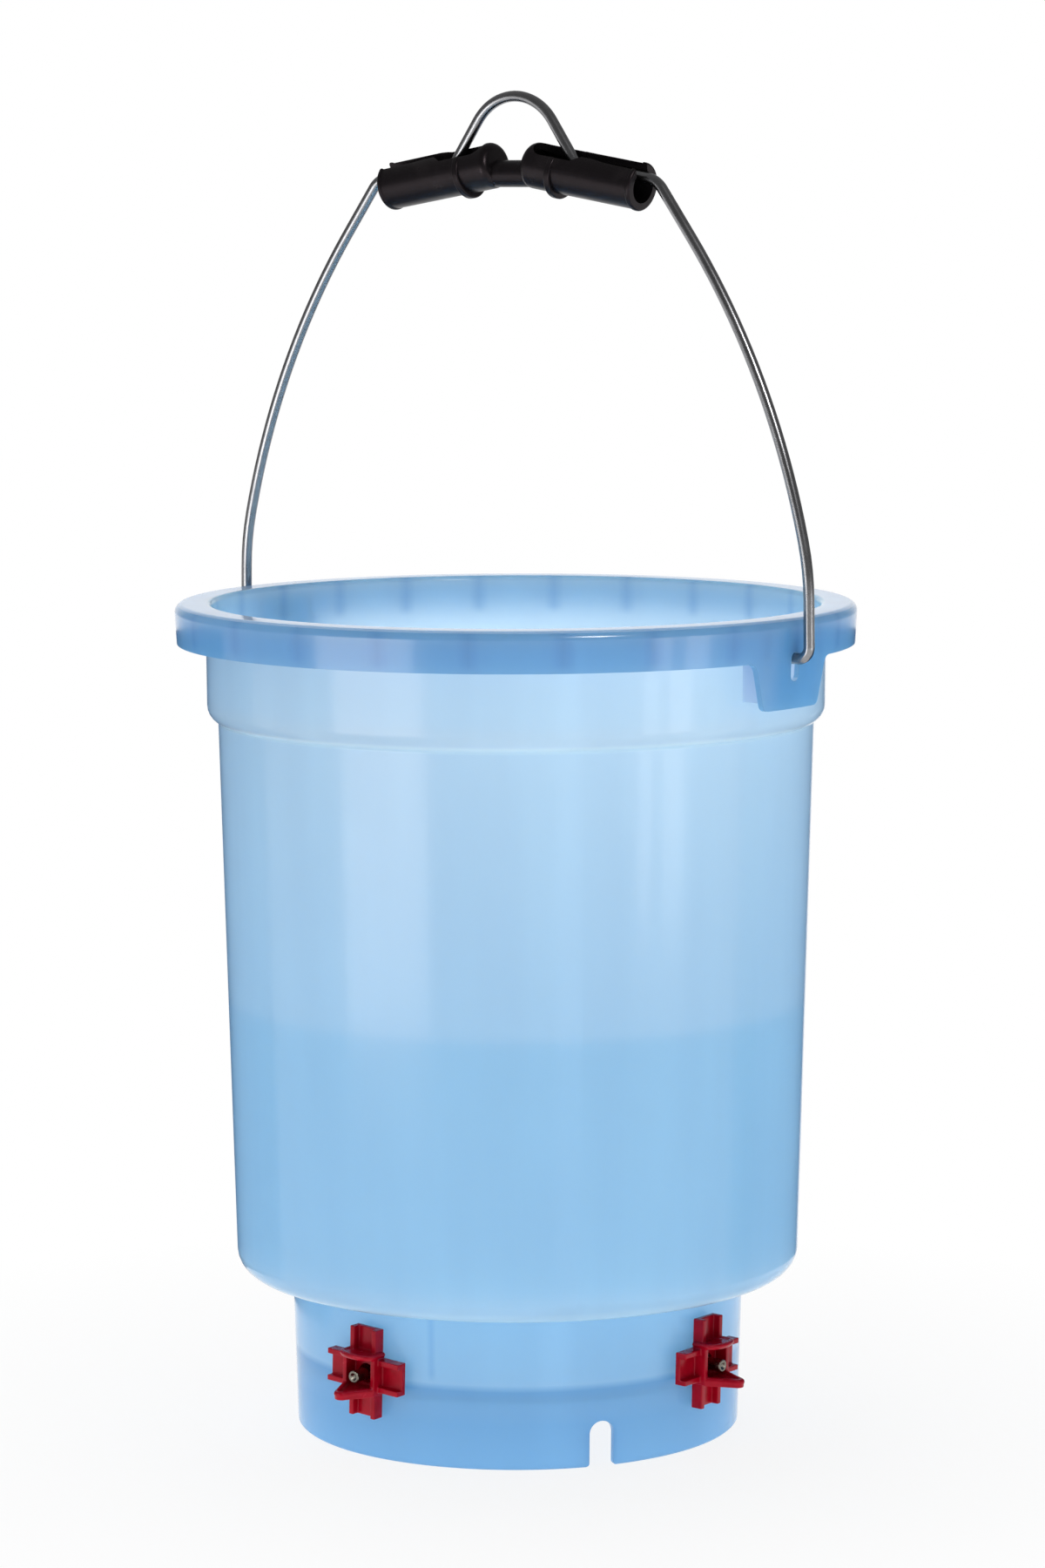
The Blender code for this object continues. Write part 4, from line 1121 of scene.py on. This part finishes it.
arm_front = PLATE_BACK + ARM_DEPTH
half_outline = [
    (ARM_HALF, CROSS_HALF), (-ARM_HALF, CROSS_HALF), (-ARM_HALF, ARM_HALF),
    (-CROSS_HALF, ARM_HALF), (-CROSS_HALF, -ARM_HALF), (-ARM_HALF, -ARM_HALF),
]
cross_outline = half_outline + [(-y, -z) for y, z in half_outline]
rise = Matrix.Translation((0, 0, CROSS_RISE))
moulding = prism("nipple_moulding", cross_outline, PLATE_BACK, arm_front, rise @ ACROSS)
channel_half = ARM_HALF - ARM_RIB
channel_starts = (BOX_HALF, HOOD_TOP - CROSS_RISE, BOX_HALF, CROSS_RISE - TONGUE_LOW)
channels = merged("channels", [
    block(
        "channel",
        (PLATE_FRONT, start, -channel_half),
        (arm_front + CUT_PAST, CROSS_HALF + CUT_PAST, channel_half),
        rise @ Matrix.Rotation(math.pi / 2 * quarter, 4, "X"),
    )
    for quarter, start in enumerate(channel_starts)
])
combine(moulding, [channels], "DIFFERENCE")

box_back = PLATE_BACK + PLATE_THICK / 2


def hood_curve_at(inset):
    """Front edge of the hood, or a line set back from it."""
    return [
        (BOX_FRONT + (HOOD_OVERHANG - inset) * math.cos(a), (BOX_HALF - inset) * math.sin(a))
        for a in (math.radians(180 * step / HOOD_STEPS - 90) for step in range(HOOD_STEPS + 1))
    ]


tongue_lean = math.degrees(math.atan2(BOX_HALF - TONGUE_TIP_R, TONGUE_REACH))


def tongue_tip_at(inset):
    """Round end of the tongue, or a line set back from it."""
    half = 90 - tongue_lean
    return arc(BOX_FRONT + TONGUE_REACH, 0, TONGUE_TIP_R - inset, -half, half, TONGUE_STEPS)


hood_outline = [(box_back, BOX_HALF), (box_back, -BOX_HALF)] + hood_curve_at(0)
hood = prism("hood", hood_outline, HOOD_TOP - HOOD_THICK, HOOD_TOP)
tongue_base = [(BOX_FRONT, BOX_HALF), (box_back, BOX_HALF), (box_back, -BOX_HALF), (BOX_FRONT, -BOX_HALF)]
tongue = prism("tongue", tongue_base + tongue_tip_at(0), TONGUE_LOW, TONGUE_LOW + TONGUE_THICK)
cheeks = merged("cheeks", [
    block(
        "cheek",
        (box_back, low_y, TONGUE_LOW + TONGUE_THICK / 2),
        (BOX_FRONT - CHEEK_SET_BACK, low_y + BOX_WALL, HOOD_TOP - HOOD_THICK / 2),
    )
    for low_y in (-BOX_HALF, BOX_HALF - BOX_WALL)
])
combine(moulding, [hood, tongue, cheeks], "UNION")
opening = block(
    "beak_opening",
    (PLATE_FRONT, BOX_WALL - BOX_HALF, TONGUE_LOW + TONGUE_THICK),
    (arm_front + SEAT_GAP, BOX_HALF - BOX_WALL, HOOD_TOP - HOOD_THICK),
)
combine(moulding, [opening], "DIFFERENCE")

# Rounded lips along the front edges of the hood and the tongue

hood_bead = [(box_back, -BEAD_HALF), *hood_curve_at(BEAD_INSET), (box_back, BEAD_HALF)]
bead_root = BOX_FRONT - TONGUE_BEAD_ROOT
bead_side = BOX_HALF - TONGUE_BEAD_INSET
tongue_bead = [(bead_root, -bead_side), *tongue_tip_at(TONGUE_BEAD_INSET), (bead_root, bead_side)]
beads = [
    tube(name, [(x, y, height) for x, y in line], radius, BEAD_STEPS)
    for name, line, height, radius in (
        ("hood_bead", hood_bead, HOOD_TOP - HOOD_BEAD_DROP, HOOD_BEAD_R),
        ("tongue_bead", tongue_bead, TONGUE_LOW + TONGUE_BEAD_RISE, TONGUE_BEAD_R),
    )
]
combine(moulding, beads, "UNION")
tidy(moulding)
melt(moulding, MELT_VOXEL, MELT_PASSES, MELT_KEPT)

stem_profile = [(0, box_back), (STEM_R, box_back), (STEM_R, THREAD_START)]
for ridge in range(THREAD_RIDGES):
    crest = THREAD_START - (ridge + 0.5) * THREAD_PITCH
    stem_profile += [(THREAD_R, crest), (STEM_R, crest - THREAD_PITCH / 2)]
stem_profile += [(STEM_R, STEM_END), (0, STEM_END)]
stem = turned("stem", stem_profile, STEM_SIDES, place=AXIS_OUT)
bore_back_r = PIN_R + BORE_PLAY
bore_front_r = bore_back_r + BORE_FLARE
bore = turned("bore", [
    (0, PLATE_FRONT + CUT_PAST),
    (bore_front_r, PLATE_FRONT + CUT_PAST),
    (bore_front_r, PLATE_FRONT),
    (bore_back_r, CHAMBER_FRONT),
    (CHAMBER_R, CHAMBER_FRONT),
    (CHAMBER_R, STEM_END - CUT_PAST),
    (0, STEM_END - CUT_PAST),
], STEM_SIDES, place=AXIS_OUT)
combine(moulding, [stem], "UNION")
combine(moulding, [bore], "DIFFERENCE")
tidy(moulding)

pin_reach = PIN_TIP - PIN_HEAD_FRONT
pin_shoulder = PLATE_FRONT + PIN_TIP_START - PIN_HEAD_FRONT
pin = turned("pin", rounded_path([
    (0, pin_reach - PIN_DIMPLE, 0),
    (PIN_DIMPLE_R * PIN_DIMPLE_FLAT, pin_reach - PIN_DIMPLE, PIN_DIMPLE_ROUND),
    (PIN_DIMPLE_R, pin_reach, PIN_DIMPLE_EDGE),
    (PIN_TIP_R, pin_reach, PIN_EDGE),
    (PIN_TIP_R, pin_shoulder, PIN_SHOULDER_ROUND),
    (PIN_R, pin_shoulder - PIN_SHOULDER_RUNOUT, 0),
    (PIN_R, 0, PIN_FILLET),
    (PIN_R + PIN_EDGE, 0, 0),
    (PIN_HEAD_R, -PIN_HEAD_THICK / 2, PIN_HEAD_EDGE),
    (PIN_HEAD_R - PIN_HEAD_EDGE, -PIN_HEAD_THICK, 0),
    (0, -PIN_HEAD_THICK, 0),
], PROFILE_TURN), STEM_SIDES, place=AXIS_OUT)
pin_shift = Matrix.Translation((PIN_HEAD_FRONT, 0, 0))
for number, place in enumerate(nipple_places, 1):
    one = link(f"nipple_{number}_moulding", moulding.data.copy())
    one.data.transform(place)
    dress(one, NIPPLE, "bucket", [f"nipple_{number}_body"])
    one = link(f"nipple_{number}_valve_pin", pin.data.copy())
    one.data.transform(place @ pin_shift)
    dress(one, PIN, f"pin_{number}", [f"nipple_{number}_pin"])
for pattern in (moulding, pin):
    bpy.data.objects.remove(pattern, do_unlink=True)


# Camera, at the photograph's angle

CAMERA_TURN = math.radians(37.6)
CAMERA_REACH = 1.8583
CAMERA_Z = 0.46705
CAMERA_YAW = -0.0012
CAMERA_PITCH = -0.1228
CAMERA_ROLL = -0.0024
SENSOR = 36.0
IMAGE_HEIGHT = 1800
FOCAL_PIXELS = 5831.18
NEAREST = 0.05
FARTHEST = 50.0

camera_data = bpy.data.cameras.new("camera")
camera_data.sensor_width = SENSOR
camera_data.lens = FOCAL_PIXELS / IMAGE_HEIGHT * SENSOR
camera_data.clip_start = NEAREST
camera_data.clip_end = FARTHEST
camera = link("camera", camera_data)
camera.matrix_world = (
    Matrix.Translation((CAMERA_REACH * math.sin(CAMERA_TURN), -CAMERA_REACH * math.cos(CAMERA_TURN), CAMERA_Z))
    @ Matrix.Rotation(CAMERA_TURN + CAMERA_YAW, 4, "Z")
    @ Matrix.Rotation(math.pi / 2 + CAMERA_PITCH, 4, "X")
    @ Matrix.Rotation(CAMERA_ROLL, 4, "Z")
)
bpy.context.scene.camera = camera


# Floor, white surroundings, softboxes and dark cards

WHITE = (1.0, 1.0, 1.0)
SEEN_FROM = (math.sin(CAMERA_TURN), -math.cos(CAMERA_TURN), 0)
SEEN_RIGHT = (math.cos(CAMERA_TURN), math.sin(CAMERA_TURN), 0)

FLOOR_COLOUR = (0.88, 0.88, 0.88)
FLOOR_HALF = 4.0
FLOOR_DROP = 0.0003
FLOOR_WHITE_REACH = (0.12, 0.34)
FLOOR_WHITE_SHARE = (0.86, 1.0)
FLOOR_GLOW_REACH = (-0.30, 0.30)
FLOOR_GLOW = (1.8, 2.2)
FLOOR_GLOW_SHARE = 0.7

# Levels from straight behind the part, 0, to the camera's side, 1

WORLD_LIT = ((0.0, 2.30), (0.20, 1.45), (0.50, 0.46), (0.80, 0.60), (1.0, 0.68))
WORLD_MIRRORED = ((0.0, 1.0), (0.02, 0.85), (0.07, 0.25), (0.60, 0.14), (1.0, 0.10))
WORLD_LEFT_TO_RIGHT = (1.30, 0.22)
OVERHEAD_START = 0.45
OVERHEAD_MOST = 0.25

# Name, azimuth and span in degrees, low and high edge, distance, radiance

SOFTBOXES = (
    ("left_softbox", -49, 34, 0.0, 0.30, 0.8, 3.4),
    ("right_softbox_near", 47.8, 5.6, 0.0, 0.28, 1.1, 3.3),
    ("right_softbox_far", 59.5, 9.4, 0.0, 0.28, 1.1, 3.1),
    ("high_softbox", 28, 12, 0.95, 1.20, 1.1, 34.0),
)

# Name, first and last azimuth in degrees, inner radius

FLAGS = (
    ("left_flag", -95, -158, 0.22),
    ("right_flag", 80, 146, 0.29),
)
FLAG_COLOUR = (0.04, 0.10, 0.20)
FLAG_REACH = 0.30
FLAG_HEIGHT = 0.27
FLAG_LIFT = 0.0005
FLAG_STEPS = 12


def seen_through(tree, rays):
    """1 for a ray that came straight through something clear, 0 for one that a milky wall spread."""
    return maths(tree, "SUBTRACT", rays.outputs["Is Transmission Ray"], rays.outputs["Is Diffuse Ray"])


def floor_surface():
    """Pale board that shows the part's shadow, is white away from it and lights the part from below."""
    made, tree, shader = surface("floor_look")
    fill(tree, shader, Base_Color=FLOOR_COLOUR, Roughness=0.9, Specular_IOR_Level=0.1)
    point = place_in_part(tree)
    rays = tree.nodes.new("ShaderNodeLightPath")
    shown = maths(tree, "MAXIMUM", rays.outputs["Is Camera Ray"], rays.outputs["Is Glossy Ray"])
    shown = maths(tree, "MAXIMUM", shown, seen_through(tree, rays))
    reach = add(tree, "ShaderNodeVectorMath", Vector=point)
    reach.operation = "LENGTH"
    share = ramp(tree, reach.outputs["Value"], *FLOOR_WHITE_REACH, *FLOOR_WHITE_SHARE)
    white = add(tree, "ShaderNodeEmission", Color=WHITE, Strength=1.0)
    level = ramp(tree, reach_towards(tree, point, SEEN_RIGHT), *FLOOR_GLOW_REACH, *FLOOR_GLOW)
    glow = add(tree, "ShaderNodeEmission", Color=WHITE, Strength=level)
    glow_share = maths(tree, "MULTIPLY", rays.outputs["Is Diffuse Ray"], FLOOR_GLOW_SHARE)
    lit = mix_shaders(tree, glow_share, shader.outputs["BSDF"], glow.outputs["Emission"])
    show(tree, mix_shaders(tree, maths(tree, "MULTIPLY", shown, share), lit, white.outputs["Emission"]))
    return made


floor_mesh = bpy.data.meshes.new("floor")
corners = [(x * FLOOR_HALF, y * FLOOR_HALF, 0) for x, y in ((-1, -1), (1, -1), (1, 1), (-1, 1))]
floor_mesh.from_pydata(corners, [], [(0, 1, 2, 3)])
floor = link("floor", floor_mesh)
floor.location.z = -FLOOR_DROP
floor_mesh.materials.append(floor_surface())


def surroundings():
    """White for what the camera sees; the level that lights the part is highest behind it and on its left."""
    world = bpy.data.worlds.new("studio")
    bpy.context.scene.world = world
    world.use_nodes = True
    tree = world.node_tree
    rays = tree.nodes.new("ShaderNodeLightPath")
    towards = tree.nodes.new("ShaderNodeTexCoord").outputs["Generated"]
    angle = ramp(tree, reach_towards(tree, towards, SEEN_FROM), -1.0, 1.0, 0.0, 1.0)
    aside = ramp(tree, reach_towards(tree, towards, SEEN_RIGHT), -1.0, 1.0, *WORLD_LEFT_TO_RIGHT)
    overhead = ramp(tree, reach_towards(tree, towards, (0, 0, 1)), OVERHEAD_START, 1.0, 0.0, OVERHEAD_MOST)
    lit = maths(tree, "ADD", maths(tree, "MULTIPLY", stops(tree, angle, WORLD_LIT), aside), overhead)
    level = ramp(tree, rays.outputs["Is Glossy Ray"], 0.0, 1.0, lit, stops(tree, angle, WORLD_MIRRORED))
    shown = maths(tree, "MAXIMUM", rays.outputs["Is Camera Ray"], seen_through(tree, rays))
    fill(tree, tree.nodes["Background"], Color=WHITE, Strength=ramp(tree, shown, 0.0, 1.0, level, 1.0))


surroundings()


def softbox(name, azimuth, span, low, high, reach, radiance):
    """Upright lamp that only the gloss sees; azimuth in degrees from the camera's side, to the right."""
    turn = CAMERA_TURN + math.radians(azimuth)
    width = 2 * reach * math.tan(math.radians(span) / 2)
    data = bpy.data.lights.new(name, "AREA")
    data.shape = "RECTANGLE"
    data.size = width
    data.size_y = high - low
    data.energy = radiance * math.pi * width * (high - low)
    light = link(name, data)
    place = Vector((reach * math.sin(turn), -reach * math.cos(turn), (low + high) / 2))
    inward = Vector((-place.x, -place.y, 0)).to_track_quat("-Z", "Y")
    light.matrix_world = Matrix.Translation(place) @ inward.to_matrix().to_4x4()
    light.visible_camera = False
    light.visible_diffuse = False


def flag(name, first, last, inner):
    """Dark card that only the gloss sees, laid flat and then bent up round the part between two azimuths."""
    turns = [CAMERA_TURN + math.radians(first + (last - first) * k / FLAG_STEPS) for k in range(FLAG_STEPS + 1)]
    rows = ((inner, FLAG_LIFT), (FLAG_REACH, FLAG_LIFT), (FLAG_REACH, FLAG_HEIGHT))
    points = [(r * math.sin(t), -r * math.cos(t), z) for t in turns for r, z in rows]
    faces = [(at, at + 3, at + 4, at + 1) for k in range(FLAG_STEPS) for at in (3 * k, 3 * k + 1)]
    mesh = bpy.data.meshes.new(name)
    mesh.from_pydata(points, [], faces)
    made, tree, shader = surface(name + "_look")
    fill(tree, shader, Base_Color=FLAG_COLOUR, Roughness=0.9)
    mesh.materials.append(made)
    card = link(name, mesh)
    card.visible_camera = False
    card.visible_diffuse = False
    card.visible_transmission = False
    card.visible_shadow = False


for box in SOFTBOXES:
    softbox(*box)
for card in FLAGS:
    flag(*card)

bpy.context.scene.view_settings.view_transform = "Standard"
